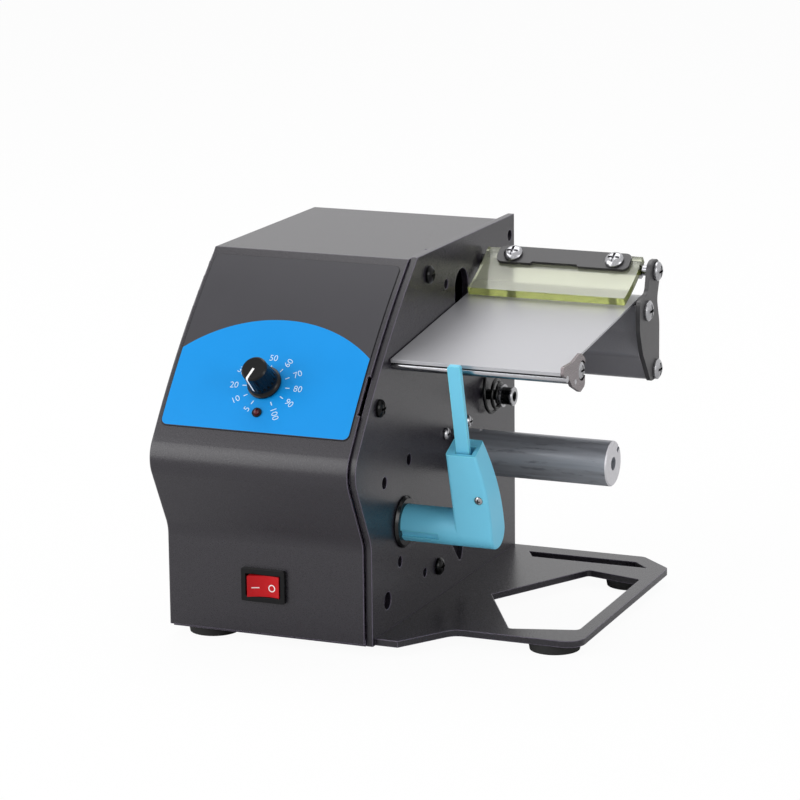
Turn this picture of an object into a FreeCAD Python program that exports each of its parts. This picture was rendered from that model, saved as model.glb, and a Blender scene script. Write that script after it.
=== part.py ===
import FreeCAD, Part
import math
import os

# Label peeling machine, all lengths in millimetres, all angles in degrees.
# Working frame: X to the right, Y to the back, Z up. X = 0 is the outer face of the
# side plate, Y = 0 its front edge at the bottom, Z = 0 the underside of the base plate.
# At the end everything moves so that the origin is at the centre of the footprint.

Vector = FreeCAD.Vector
X_AXIS = Vector(1, 0, 0)
Y_AXIS = Vector(0, 1, 0)
Z_AXIS = Vector(0, 0, 1)

# Fits
slip = 0.05            # radial running clearance of a shaft in a hole
seat = 0.05            # gap between a rod and the hole that holds it
soft_gap = 0.3         # gap between a soft piece and what it rests on
flange_gap = 0.25      # axial play of a turning piece
panel_gap = 0.2        # gap round a sheet panel

# Housing
plate_depth = 172.0
plate_height = 164.0
plate_thick = 3.0
plate_setback = 2.0
cover_width = 95.4
cover_depth = 160.0
cover_top = 163.4
cover_base = 1.0
cover_front = -2.0
sheet = 1.2
fold_radius = 1.0
inner_flange = 11.0
notch_low = 19.0       # relief notch beside the seam, from the foot of the panel
notch_length = 17.6
notch_width = 1.0
notch_eye = 0.9
rear_lip = 10.0

# Front outline of the housing, seen from the side
nose_reach = 18.6      # how far the nose corner stands in front of the lower front
nose_height = 81.3
waist_drop = 35.3      # from the nose corner down to the waist
waist_height = nose_height - waist_drop
waist_radius = 14.0
nose_radius = 14.0
panel_angle = 55.0     # slope of the panel where it leaves the nose
panel_lead = 10.7      # straight run between the nose corner and the panel
panel_radius = 388.0   # the panel is slightly crowned

# Base plate
base_thick = 3.0
base_reach = 85.6      # how far it stands out on the right
base_taper = 3.0       # the right edge leans in by this much towards the back
base_nose = 10.6
base_front = 28.9
base_kink = 26.9
base_corner_radius = 8.0
base_chamfer_x = 16.4
base_chamfer_y = 15.0
tongue_inset = 1.6
window_front = 38.6
window_front_skew = 8.9
window_back = 141.0
window_back_skew = 7.0
window_tip_x = 21.5
window_tip_y = 87.0
window_left = 49.0
window_rim = 6.4
slot_left = 16.0
slot_run = 49.0
slot_front = 153.5
slot_width = 8.5

# Feet
foot_radius = 12.0
foot_height = 4.4
foot_recess = 1.0
foot_side = 15.0
foot_front = 13.4
foot_back = 15.0
foot_wing = 15.8
foot_wing_front = 12.1
foot_wing_back = 22.0
foot_screw_radius = 3.4
foot_screw_bite = 2.2   # how far a foot's screw goes into the base plate
relief_inset = 2.2      # a small relief hole in the cover's top, from its seam
relief_y = 77.1
relief_radius = 0.7

# Control panel, places measured along the crown from its foot, upwards
dial_up = 29.5
dial_side = 47.1       # from the left face of the cover
led_drop = 14.2
overlay_inset = 2.6
overlay_low = 6.0
overlay_high = 95.0
overlay_thick = 0.25
overlay_gap = 0.15     # the glue under the film
overlay_top = overlay_gap + overlay_thick
overlay_corner = 6.0
overlay_low_corner = 3.5
knob_height = 14.0
knob_skirt_radius = 7.8
knob_skirt_height = 3.2
knob_skirt_edge = 0.9   # the upright rim at the foot of the flare
knob_bevel = 0.7
knob_grip_radius = 6.4
knob_cap_radius = 5.9
coil_steps = 8          # points on each turn of a coil's line
knob_flutes = 18
knob_flute_radius = 0.55
knob_lift = 0.6
pointer_width = 1.1
pointer_depth = 0.4
pointer_rest = 250.0    # where the pointer stands, counted round from the right
pot_shaft_radius = 3.0
pot_bush_radius = 3.5
pot_body_radius = 8.2
pot_body_depth = 9.0
pot_bush_length = 6.0
pot_bush_proud = 2.2    # how far it stands out of the film, in the hollow of the knob
pot_nut_size = 5.0
led_bezel_radius = 2.2
led_lens_radius = 1.45

# Rocker switch
switch_side = 47.4
switch_height = 23.6
bezel_width = 21.0
bezel_tall = 15.0
bezel_proud = 2.0
switch_body_width = 19.0
switch_body_tall = 12.9
switch_body_depth = 17.0
rocker_width = 14.6
rocker_tall = 9.6
rocker_radius = 22.0
rocker_tilt = 9.0
rocker_proud = 1.9
rocker_room = 1.1      # beside the rocker, which swings its corners outwards
terminal_length = 7.0

# Take-up drive
motor_y = 98.9
motor_z = 69.2
motor_offset_y = 5.6
motor_offset_z = -4.2
gearbox_radius = 18.5
gearbox_length = 22.0
motor_radius = 16.5
motor_length = 31.0
motor_screw_circle = 15.5
boss_radius = 6.0
boss_length = 5.0
drive_radius = 3.0
drive_flat = 0.5
take_up_radius = 10.4
take_up_end = 74.2
take_up_bore = 3.05
take_up_mouth = 5.0
take_up_slit = 2.0
take_up_slit_depth = 3.6
take_up_slit_angle = 42.0

# Feeler arm: it swings about the tube axis and slides along it
arm_y = 36.3
arm_z = 47.9
arm_lean = 14.0
tube_radius = 8.25
tube_wall = 2.0
tube_inside = 30.0
tube_end = 45.2
channel_width = 3.2
channel_depth = 1.1
channel_end = 19.5
channel_angle = 191.0
head_left_top = 25.4
head_right_top = 38.6
head_left_low = 28.4
head_upright = 4.0      # how far up the free end stays upright before it leans in
head_round = 1.3
head_front_top = 4.3
head_back_top = 7.7
head_top = 39.0        # at the middle of the tube; the top face slopes up to the back
head_top_slope = 10.0
blade_left = 30.0
blade_width = 6.0
blade_thick = 2.2
blade_front = 2.1
blade_tip = 80.4
blade_foot = 14.0
blade_room = 0.3
slot_room_front = 0.9
slot_room_back = 2.6
slot_room_side = 1.6
slot_rim_depth = 6.0
arm_screw_x = 40.0
arm_screw_up = 17.8
arm_screw_radius = 1.9
arm_screw_sink = 0.25
hub_flange_radius = 11.7
hub_flange_thick = 1.5
hub_flange_bevel = 1.1
hub_radius = 10.0
hub_length = 19.0
hub_ring_radius = 12.5
hub_ring_thick = 1.2
lever_angle = 50.0
lever_length = 33.0
lever_width = 6.0
lever_thick = 3.0
lever_start = 5.0
coil_wire = 0.6
coil_turns = 4.0
microswitch_length = 20.0
microswitch_height = 10.2
microswitch_thick = 6.0
microswitch_from = 13.5
plunger_height = 1.2

# Peeling table
table_left = 0.5
table_right = 79.8
table_front_y = 22.0
table_front_z = 124.8
table_slope = 7.9
table_sheet = 1.0
table_length = 102.0
table_lip = 1.6
table_tail_radius = 16.0
table_tail_angle = 42.0
peel_rod_radius = 1.6
peel_rod_back = 2.4
peel_rod_gap = 0.4
wire_radius = 1.2
wire_back = 12.0
wire_drop = 8.2
support_radius = 5.0
support_along = 20.5
clip_thick = 1.5
clip_gap = 0.5
clip_recess_radius = 4.5
clip_recess_depth = 1.0
clip_head_radius = 3.8
clip_head_height = 1.3
screw_hole = 1.25

# End bracket and its tie rods
bracket_left = 82.6
bracket_thick = 2.0
tie_radius = 4.0
tie_along = 98.4
low_tie_y = 132.6
low_tie_z = 104.0
guide_sheet = 1.0
guide_mid_z = 124.0
guide_knee_y = 114.8
guide_knee_z = 113.4
guide_low_y = 127.3
guide_low_z = 100.7

# Pressing flap, hinged on its shaft
flap_left = 2.0
flap_right = 77.6
flap_axis_y = 132.0
flap_axis_z = 149.4
flap_thick = 3.6
flap_seat = -0.2       # the flat under the flap, above the shaft's axis
flap_bend = 9.0        # half of the angle through which the flap is dished
flap_reach = 25.5
flap_tail = 5.0
flap_bar_radius = 4.0
flap_journal_radius = 2.5
strip_left = 9.0
strip_right = 73.2
strip_width = 9.8
strip_thick = 1.5
strip_waist = 1.1
strip_notch_left = 26.0
strip_notch_right = 49.2
strip_flank = 0.8
strip_screw_inset = 7.5
strip_screw_radius = 4.4

# Tension stud on the side plate
stud_y = 137.5
stud_z = 84.2
stud_radius = 2.5
stud_head_radius = 4.1
stud_head_length = 5.0
stud_socket_radius = 1.9
stud_ring_radius = 4.5
stud_ring_inner = 2.4
stud_ring_length = 1.1
stud_grooves = 3
stud_groove_pitch = 1.0
stud_groove_depth = 0.3
stud_washer_radius = 5.4
stud_washer_thick = 1.0
stud_spring_length = 7.3
stud_spring_low_radius = 10.2
stud_spring_high_radius = 4.9
stud_spring_wire = 0.8
stud_spring_turns = 2.25
stud_spring_start = 120.0   # where its open end lies round the stud, from the back upwards
stud_spring_lead = 0.6      # under 1, so the first turn stands furthest apart

# Screws: head radius, head height, shank radius
black_head_radius = 4.0
black_head_height = 2.4
black_shank_radius = 1.9
silver_head_radius = 2.9
silver_head_height = 1.9
silver_shank_radius = 1.45
end_head_radius = 4.7
end_head_height = 2.3
end_shank_radius = 2.0
recess_depth = 1.0

# Plain holes in the side plate: depth from the front edge, height, diameter
plate_holes = [(87.6, 146.0, 4.6), (42.7, 74.9, 5.4), (15.0, 70.6, 5.6), (31.4, 30.7, 5.0),
               (59.8, 18.2, 4.4), (17.0, 16.5, 8.0), (166.3, 154.6, 5.4)]
black_screw_places = [(67.3, 154.0), (10.2, nose_height + 24.0), (75.7, 17.1)]
arch_y = 106.0
arch_z = 142.0
arch_radius = 8.0
arch_drop = 14.0
tri_left = 88.0
tri_right = 109.0
tri_top = 27.5
tri_tip_y = 103.0
tri_tip_z = 11.0
tri_radius = 2.5

# Inside
angle_leg = 20.0
angle_sheet = 2.0
angle_front = 20.0
angle_back = 150.0
board_side = 10.4       # from the left face of the cover
board_front = 62.0
board_room = 33.0       # to the right face of the cover, clear of the angle
board_width = cover_width - board_side - board_room
board_depth = 70.0
board_lift = 7.0
board_thick = 1.6
board_inset = 4.0
capacitor_radius = 5.0
capacitor_height = 14.0
heat_sink_thick = 2.0
heat_sink_height = 18.0
driver_height = 3.0
terminal_height = 9.0
standoff_radius = 3.0
vent_columns = 9
vent_pitch = 6.0
vent_width = 2.4
vent_height = 28.0
inlet_side = 24.0
inlet_height = 24.0
inlet_radius = 5.6


def vec(x, y, z):
    return Vector(x, y, z)


def to_side(x):
    """Map outline coordinates (y, z) into the plane at this x."""
    return lambda u, v: Vector(x, u, v)


def to_floor(z):
    return lambda u, v: Vector(u, v, z)


def to_front(y):
    return lambda u, v: Vector(u, y, v)


def corner_cut(before, corner, after, radius):
    """Start, middle and end of the arc that rounds a corner."""
    a = FreeCAD.Vector(before[0] - corner[0], before[1] - corner[1], 0).normalize()
    b = FreeCAD.Vector(after[0] - corner[0], after[1] - corner[1], 0).normalize()
    half = a.getAngle(b) / 2
    reach = radius / math.tan(half)
    bisector = (a + b).normalize()
    top = radius / math.sin(half) - radius
    start = (corner[0] + a.x * reach, corner[1] + a.y * reach)
    middle = (corner[0] + bisector.x * top, corner[1] + bisector.y * top)
    end = (corner[0] + b.x * reach, corner[1] + b.y * reach)
    return start, middle, end


def rounded_face(corners, place):
    """A face from corners (u, v, radius), with arcs where the radius isn't zero."""
    edges = []
    count = len(corners)
    cuts = []
    for i, (u, v, radius) in enumerate(corners):
        before = corners[i - 1]
        after = corners[(i + 1) % count]
        if radius > 0:
            cuts.append(corner_cut(before, (u, v), after, radius))
        else:
            cuts.append(((u, v), None, (u, v)))
    for i, (start, middle, end) in enumerate(cuts):
        if middle is not None:
            edges.append(Part.Arc(place(*start), place(*middle), place(*end)).toShape())
        following = cuts[(i + 1) % count][0]
        if math.dist(end, following) > 1e-6:
            edges.append(Part.LineSegment(place(*end), place(*following)).toShape())
    return Part.Face(Part.Wire(edges))


def plate_prism(corners, place, thickness_vector):
    return rounded_face(corners, place).extrude(thickness_vector)


def rod(x0, x1, y, z, radius):
    return Part.makeCylinder(radius, x1 - x0, vec(x0, y, z), X_AXIS)


def box(x0, x1, y0, y1, z0, z1):
    return Part.makeBox(x1 - x0, y1 - y0, z1 - z0, vec(x0, y0, z0))


def fuse(shapes):
    return shapes[0].multiFuse(shapes[1:]).removeSplitter()


def pan_screw(head_radius, head_height, shank_radius, shank_length):
    """A pan-head screw along +Z: its head stands on Z = 0 and its shank goes down."""
    flank = head_height * 0.45
    profile = [
        Part.LineSegment(vec(0, 0, -shank_length), vec(shank_radius, 0, -shank_length)).toShape(),
        Part.LineSegment(vec(shank_radius, 0, -shank_length), vec(shank_radius, 0, 0)).toShape(),
        Part.LineSegment(vec(shank_radius, 0, 0), vec(head_radius, 0, 0)).toShape(),
        Part.LineSegment(vec(head_radius, 0, 0), vec(head_radius, 0, flank)).toShape(),
        Part.Arc(vec(head_radius, 0, flank), vec(head_radius * 0.72, 0, head_height * 0.86),
                 vec(0, 0, head_height)).toShape(),
        Part.LineSegment(vec(0, 0, head_height), vec(0, 0, -shank_length)).toShape(),
    ]
    screw = Part.Face(Part.Wire(profile)).revolve(vec(0, 0, 0), Z_AXIS, 360)
    arm = head_radius * 0.62
    blade = head_radius * 0.13
    depth = min(recess_depth, head_height * 0.6)
    bar = Part.makeBox(2 * arm, 2 * blade, head_height, vec(-arm, -blade, head_height - depth))
    cross = bar.fuse(bar.rotated(vec(0, 0, 0), Z_AXIS, 90))
    return screw.cut(cross)


def aimed(shape, point, direction):
    """Turn a shape built along +Z so that it points along a direction from a point."""
    turned = shape.copy()
    turned.Placement = FreeCAD.Placement(point, FreeCAD.Rotation(Z_AXIS, direction))
    return turned


def coil(axis_point, start_radius, end_radius, length, turns, wire_radius, start_angle=0.0, lead=1.0):
    """A round-wire coil along +X from a point on its axis; a lead under 1 opens its first turns."""
    steps = math.ceil(turns * coil_steps)
    places = []
    for i in range(steps + 1):
        turn = math.radians(start_angle) + 2 * math.pi * turns * i / steps
        share = (i / steps) ** lead
        radius = start_radius + (end_radius - start_radius) * share
        places.append(vec(length * share, radius * math.cos(turn), radius * math.sin(turn)))
    curve = Part.BSplineCurve()
    curve.interpolate(places)
    ring = Part.Wire([Part.makeCircle(wire_radius, places[0], curve.tangent(curve.FirstParameter)[0])])
    sweep = Part.Wire([curve.toShape()]).makePipeShell([ring], True, True)
    sweep.Placement = FreeCAD.Placement(axis_point, FreeCAD.Rotation())
    return sweep


# Side outline of the housing

def panel_foot():
    """Where the crowned panel starts above the nose, for the cover."""
    rise = math.radians(panel_angle)
    return (cover_front - nose_reach + panel_lead * math.cos(rise),
            nose_height + panel_lead * math.sin(rise))


def panel_centre():
    rise = math.radians(panel_angle)
    foot_y, foot_z = panel_foot()
    return (foot_y + panel_radius * math.sin(rise), foot_z - panel_radius * math.cos(rise))


def panel_point(up, outward=0.0):
    """A point on the panel at a distance along its crown from the foot, and its normal."""
    turn = math.radians(panel_angle) - up / panel_radius
    centre_y, centre_z = panel_centre()
    normal = (-math.sin(turn), math.cos(turn))
    reach = panel_radius + outward
    return (centre_y + normal[0] * reach, centre_z + normal[1] * reach), normal


def housing_face(x, setback, top, back, base):
    """The closed side outline: lower front, waist, nose, crowned panel, top and back."""
    place = to_side(x)
    front = cover_front + setback
    nose = (front - nose_reach, nose_height)
    waist = (front, waist_height)
    foot_y, foot_z = panel_foot()
    foot = (foot_y + setback, foot_z)
    centre_y, centre_z = panel_centre()
    half = math.sqrt(panel_radius ** 2 - (top - centre_z) ** 2)
    fold = (centre_y + setback - half, top)
    middle_up = math.dist(foot, fold) / 2
    (mid_y, mid_z), _ = panel_point(middle_up)
    waist_start, waist_mid, waist_end = corner_cut((front, base), waist, nose, waist_radius)
    nose_start, nose_mid, nose_end = corner_cut(waist, nose, foot, nose_radius)
    edges = [
        Part.LineSegment(place(front, base), place(*waist_start)),
        Part.Arc(place(*waist_start), place(*waist_mid), place(*waist_end)),
        Part.LineSegment(place(*waist_end), place(*nose_start)),
        Part.Arc(place(*nose_start), place(*nose_mid), place(*nose_end)),
        Part.LineSegment(place(*nose_end), place(*foot)),
        Part.Arc(place(*foot), place(mid_y + setback, mid_z), place(*fold)),
        Part.LineSegment(place(*fold), place(back, top)),
        Part.LineSegment(place(back, top), place(back, base)),
        Part.LineSegment(place(back, base), place(front, base)),
    ]
    return Part.Face(Part.Wire([edge.toShape() for edge in edges]))


cover_left = -plate_thick - cover_width
dial_x = cover_left + dial_side
switch_x = cover_left + switch_side


def panel_frame(x, up, outward=0.0):
    """A frame on the panel: its Y runs up the panel and its Z stands out of it."""
    (y, z), normal = panel_point(up, outward)
    lean = math.degrees(math.atan2(-normal[0], normal[1]))
    return FreeCAD.Placement(vec(x, y, z), FreeCAD.Rotation(X_AXIS, lean))


def panel_tool(x, up, radius, length):
    """A cylinder through the panel, square to its surface, for holes and round parts."""
    (y, z), normal = panel_point(up)
    direction = vec(0, normal[0], normal[1])
    start = vec(x, y, z) - direction * (length / 2)
    return Part.makeCylinder(radius, length, start, direction)


# Frame

def side_plate():
    plate = housing_face(-plate_thick, plate_setback, plate_height, plate_depth, 0).extrude(
        vec(plate_thick, 0, 0))
    cuts = [rod(-plate_thick - 1, 1, y, z, size / 2) for y, z, size in plate_holes]
    cuts += [rod(-plate_thick - 1, 1, y, z, black_shank_radius + seat) for y, z in black_screw_places]
    cuts.append(rod(-plate_thick - 1, 1, arm_y, arm_z, hub_radius + slip))
    cuts.append(rod(-plate_thick - 1, 1, take_up_y(), take_up_z(), boss_radius + seat))
    for y, z in motor_screw_places():
        cuts.append(rod(-plate_thick - 1, 1, y, z, silver_shank_radius + seat))
    for y, z, radius in table_rod_places() + tie_places():
        cuts.append(rod(-plate_thick - 1, 1, y, z, radius + seat))
    cuts.append(rod(-plate_thick - 1, 1, flap_axis_y, flap_axis_z, flap_journal_radius + slip))
    cuts.append(rod(-plate_thick - 1, 1, stud_y, stud_z, stud_radius + seat))
    arch = [(arch_y - arch_radius, arch_z - arch_drop, 0), (arch_y + arch_radius, arch_z - arch_drop, 0),
            (arch_y + arch_radius, arch_z + arch_radius, arch_radius * 0.999),
            (arch_y - arch_radius, arch_z + arch_radius, arch_radius * 0.999)]
    cuts.append(plate_prism(arch, to_side(-plate_thick - 1), vec(plate_thick + 2, 0, 0)))
    triangle = [(tri_left, tri_top, tri_radius), (tri_tip_y, tri_tip_z, tri_radius),
                (tri_right, tri_top, tri_radius)]
    cuts.append(plate_prism(triangle, to_side(-plate_thick - 1), vec(plate_thick + 2, 0, 0)))
    # The base plate runs through under the plate, between a front and a rear foot of it.
    cuts.append(box(-plate_thick - 1, 1, tongue_front() - panel_gap, tongue_back() + panel_gap,
                    -1, base_thick))
    return plate.cut(cuts)


def tongue_front():
    return cover_front + sheet + tongue_inset + plate_setback


def tongue_back():
    return cover_depth - sheet - 2 * panel_gap


def base_plate():
    left = cover_left + sheet + panel_gap
    inner = -plate_thick - panel_gap
    front = tongue_front()
    back = tongue_back()
    tongue = box(left, inner, cover_front + sheet + panel_gap, back, 0, base_thick)
    bridge = box(inner, 0, front, back, 0, base_thick)
    radius = base_corner_radius
    outline = [(0, front, 0), (base_nose, front, 0), (base_kink, base_front, radius),
               (base_reach, base_front, radius),
               (base_edge(plate_depth - base_chamfer_y), plate_depth - base_chamfer_y, radius / 2),
               (base_edge(plate_depth) - base_chamfer_x, plate_depth, radius / 2), (0, plate_depth, 0)]
    wing = plate_prism(outline, to_floor(0), vec(0, 0, base_thick))
    front_right = window_front + window_front_skew
    back_right = window_back - window_back_skew
    window = [(window_left, window_front, 2), (base_edge(front_right) - window_rim, front_right, 3),
              (base_edge(back_right) - window_rim, back_right, 2), (window_left, window_back, 2),
              (window_tip_x, window_tip_y, 2)]
    slot = [(slot_left, slot_front, 0), (slot_left + slot_run + slot_width, slot_front, 0),
            (slot_left + slot_run, slot_front + slot_width, 0), (slot_left - 5, slot_front + slot_width, 0)]
    plate = fuse([tongue, bridge, wing])
    cuts = [plate_prism(window, to_floor(-1), vec(0, 0, base_thick + 2)),
            plate_prism(slot, to_floor(-1), vec(0, 0, base_thick + 2))]
    for x, y in foot_places():
        cuts.append(Part.makeCylinder(silver_shank_radius + seat, foot_screw_bite + seat + 1, vec(x, y, -1)))
    return plate.cut(cuts)


def base_edge(y):
    """The right edge of the base plate at a depth."""
    return base_reach - base_taper * (y - base_front) / (plate_depth - base_chamfer_y - base_front)


def foot_places():
    left = cover_left + foot_side
    return [(left, foot_front), (left, cover_depth - foot_back),
            (base_reach - foot_wing, base_front + foot_wing_front),
            (base_reach - foot_wing - base_taper, plate_depth - foot_wing_back)]


def rubber_feet():
    feet = []
    for x, y in foot_places():
        body = Part.makeCone(foot_radius - 0.8, foot_radius, foot_height, vec(x, y, -foot_height))
        recess = Part.makeCylinder(foot_screw_radius + 0.6, foot_recess + silver_head_height,
                                   vec(x, y, -foot_height))
        shank = Part.makeCylinder(silver_shank_radius + seat, foot_height + 1, vec(x, y, -foot_height))
        feet.append(body.cut([recess, shank]))
    return Part.makeCompound(feet)


def foot_screws():
    screws = []
    length = foot_height - foot_recess - silver_head_height + foot_screw_bite
    for x, y in foot_places():
        head = pan_screw(foot_screw_radius, silver_head_height, silver_shank_radius, length)
        screws.append(aimed(head, vec(x, y, -foot_height + foot_recess + silver_head_height), vec(0, 0, -1)))
    return Part.makeCompound(screws)


def base_angle():
    """The inner angle that ties the side plate to the base plate."""
    x = -plate_thick
    upright = box(x - angle_sheet, x, angle_front, angle_back, base_thick, base_thick + angle_leg)
    foot = box(x - angle_leg, x, angle_front, angle_back, base_thick, base_thick + angle_sheet)
    screw_y, screw_z = black_screw_places[2]
    return fuse([upright, foot]).cut(rod(x - angle_sheet - 1, x + 1, screw_y, screw_z,
                                         black_shank_radius + seat))


# Housing

def front_cover():
    right = -plate_thick - panel_gap
    extra = 20.0
    outer = housing_face(cover_left, 0, cover_top, cover_depth + extra, cover_base - extra)
    wrap = outer.extrude(vec(right - cover_left, 0, 0))
    hollow = outer.makeOffset2D(-sheet)
    wrap = wrap.cut(hollow.extrude(vec(right - cover_left - sheet, 0, 0)).translated(vec(sheet, 0, 0)))
    ring = outer.makeOffset2D(-inner_flange).extrude(vec(4 * sheet, 0, 0))
    wrap = wrap.cut(ring.translated(vec(right - cover_left - 2 * sheet, 0, 0)))
    keep = box(cover_left - 1, right + 1, cover_front - 40, cover_depth, cover_base, cover_top + 1)
    wrap = wrap.common(keep)
    folded = [edge for edge in wrap.Edges
              if edge.BoundBox.XMax < cover_left + 0.01
              and edge.BoundBox.YMax < cover_depth + 0.01
              and not (edge.BoundBox.YMin > cover_depth - 0.1)
              and not (edge.BoundBox.ZMax < cover_base + 0.1)]
    wrap = wrap.makeFillet(fold_radius, folded)
    lip_front = cover_depth - 2 * sheet - panel_gap
    left_lip = box(cover_left + sheet, cover_left + sheet + rear_lip, lip_front, lip_front + sheet,
                   20, cover_top - 20)
    top_lip = box(cover_left + 20, right - 20, lip_front, lip_front + sheet,
                  cover_top - sheet - rear_lip, cover_top - sheet)
    cover = fuse([wrap, left_lip, top_lip])
    cuts = [panel_tool(dial_x, dial_up, pot_bush_radius + seat, 12),
            panel_tool(dial_x, dial_up - led_drop, led_lens_radius + 0.3 + seat, 12)]
    cuts.append(box(switch_x - switch_body_width / 2 - seat, switch_x + switch_body_width / 2 + seat,
                    cover_front - 5, cover_front + 5,
                    switch_height - switch_body_tall / 2 - seat, switch_height + switch_body_tall / 2 + seat))
    for y, z in black_screw_places[:2]:
        cuts.append(rod(right - 2 * sheet - 1, right + 1, y, z, black_shank_radius + seat))
    for x, z in rear_screw_places():
        cuts.append(Part.makeCylinder(silver_shank_radius + seat, 10, vec(x, cover_depth - 8, z), Y_AXIS))
    # Narrow lock slot beside the seam, with a round relief at each end, and a relief hole in the top.
    for up in (notch_low, notch_low + notch_length):
        cuts.append(panel_tool(right - 0.5, up, notch_eye, 8))
    slit = Part.makeBox(2 * notch_width, notch_length, 8, vec(-notch_width, 0, -4))
    slit.Placement = panel_frame(right, notch_low)
    cuts.append(slit)
    cuts.append(Part.makeCylinder(relief_radius, 5, vec(right - relief_inset, relief_y, cover_top - 4)))
    return cover.cut(cuts)


def rear_screw_places():
    left = cover_left + sheet + rear_lip / 2
    high = cover_top - sheet - rear_lip / 2
    side = cover_width / 3
    return [(left, cover_top * 0.21), (left, cover_top * 0.78), (cover_left + side, high),
            (-plate_thick - side, high)]


def rear_panel():
    back = cover_depth - panel_gap
    panel = box(cover_left + sheet + panel_gap, -plate_thick - panel_gap, back - sheet, back,
                base_thick + panel_gap, cover_top - sheet - panel_gap)
    cuts = []
    for x, z in rear_screw_places():
        cuts.append(Part.makeCylinder(silver_shank_radius + seat, 10, vec(x, back - 5, z), Y_AXIS))
    middle = cover_left + cover_width / 2
    for column in range(vent_columns):
        x = middle + (column - (vent_columns - 1) / 2) * vent_pitch
        for z in (62.0, 62.0 + vent_height + 8.0):
            half = vent_width / 2
            slot = [(x - half, z, half * 0.99), (x + half, z, half * 0.99),
                    (x + half, z + vent_height, half * 0.99), (x - half, z + vent_height, half * 0.99)]
            cuts.append(plate_prism(slot, to_front(back - 3), vec(0, 6, 0)))
    cuts.append(Part.makeCylinder(inlet_radius + seat, 10, vec(cover_left + inlet_side, back - 5, inlet_height),
                                  Y_AXIS))
    return panel.cut(cuts)


def rear_screws():
    length = 2 * sheet + 3
    screws = [aimed(pan_screw(silver_head_radius, silver_head_height, silver_shank_radius, length),
                    vec(x, cover_depth - panel_gap, z), Y_AXIS) for x, z in rear_screw_places()]
    return Part.makeCompound(screws)


def dc_inlet():
    x = cover_left + inlet_side
    back = cover_depth - panel_gap
    flange = Part.makeCylinder(inlet_radius + 1.6, 1.6, vec(x, back, inlet_height), Y_AXIS)
    barrel = Part.makeCylinder(inlet_radius, 14, vec(x, back - 14, inlet_height), Y_AXIS)
    nut = Part.makePolygon([vec(x + 8.5 * math.cos(math.radians(a)), back - sheet,
                                inlet_height + 8.5 * math.sin(math.radians(a)))
                            for a in range(0, 361, 60)])
    nut = Part.Face(nut).extrude(vec(0, -3, 0))
    mouth = Part.makeCylinder(3.0, 10, vec(x, back - 7, inlet_height), Y_AXIS)
    pin = Part.makeCylinder(1.0, 8, vec(x, back - 8, inlet_height), Y_AXIS)
    return fuse([fuse([flange, barrel, nut]).cut(mouth), pin])


def plate_screws():
    screws = []
    lengths = [2 * sheet + plate_thick + 3] * 2 + [angle_sheet + plate_thick + 3]
    for (y, z), length in zip(black_screw_places, lengths):
        head = pan_screw(black_head_radius, black_head_height, black_shank_radius, length)
        screws.append(aimed(head, vec(0, y, z), X_AXIS))
    return Part.makeCompound(screws)


# Control panel

def control_overlay():
    """A printed film on the crowned panel."""
    left = cover_left + overlay_inset
    right = -plate_thick - overlay_inset
    middle = (overlay_low + overlay_high) / 2
    rings = []
    for outward in (overlay_gap, overlay_top):
        rings.append([panel_point(up, outward)[0] for up in (overlay_low, middle, overlay_high)])
    place = to_side(left)
    edges = [Part.Arc(*[place(*point) for point in rings[0]]).toShape(),
             Part.LineSegment(place(*rings[0][2]), place(*rings[1][2])).toShape(),
             Part.Arc(*[place(*point) for point in rings[1]]).toShape(),
             Part.LineSegment(place(*rings[1][0]), place(*rings[0][0])).toShape()]
    film = Part.Face(Part.Wire(edges)).extrude(vec(right - left, 0, 0))
    half = math.dist(rings[0][0], rings[0][2]) / 2
    trim = plate_prism([(left, -half + 0.2, overlay_low_corner), (right, -half + 0.2, overlay_low_corner),
                        (right, half - 0.2, overlay_corner), (left, half - 0.2, overlay_corner)],
                       to_floor(-15), vec(0, 0, 30))
    trim.Placement = panel_frame(0, middle)
    film = film.common(trim)
    return film.cut([panel_tool(dial_x, dial_up, pot_bush_radius + seat, 12),
                     panel_tool(dial_x, dial_up - led_drop, led_lens_radius + 0.3 + seat, 12)])


def knob_body(inset):
    """The knob's outline turned round its axis, drawn in by an inset: skirt, flare, grip and cap."""
    top = knob_lift + knob_height - inset
    foot = knob_lift + knob_skirt_edge
    grip = knob_lift + knob_skirt_height + 0.6
    skirt_radius = knob_skirt_radius - inset
    grip_radius = knob_grip_radius - inset
    cap_radius = knob_cap_radius - inset
    waist = (grip_radius + 0.25 * (skirt_radius - grip_radius), foot + 0.3 * (grip - foot))
    edges = [Part.LineSegment(vec(0, 0, knob_lift), vec(skirt_radius, 0, knob_lift)).toShape(),
             Part.LineSegment(vec(skirt_radius, 0, knob_lift), vec(skirt_radius, 0, foot)).toShape(),
             Part.Arc(vec(skirt_radius, 0, foot), vec(waist[0], 0, waist[1]), vec(grip_radius, 0, grip)).toShape(),
             Part.LineSegment(vec(grip_radius, 0, grip), vec(cap_radius, 0, top - knob_bevel)).toShape(),
             Part.LineSegment(vec(cap_radius, 0, top - knob_bevel), vec(cap_radius - knob_bevel, 0, top)).toShape(),
             Part.LineSegment(vec(cap_radius - knob_bevel, 0, top), vec(0, 0, top)).toShape(),
             Part.LineSegment(vec(0, 0, top), vec(0, 0, knob_lift)).toShape()]
    return Part.Face(Part.Wire(edges)).revolve(vec(0, 0, 0), Z_AXIS, 360)


def pointer_line():
    """The white line: over the cap from its middle and down the grip to the flare."""
    low = knob_lift + knob_skirt_height
    bar = box(0, knob_skirt_radius, -pointer_width / 2, pointer_width / 2, low, knob_lift + knob_height + 1)
    return bar.common(knob_body(0).cut(knob_body(pointer_depth)))


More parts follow.
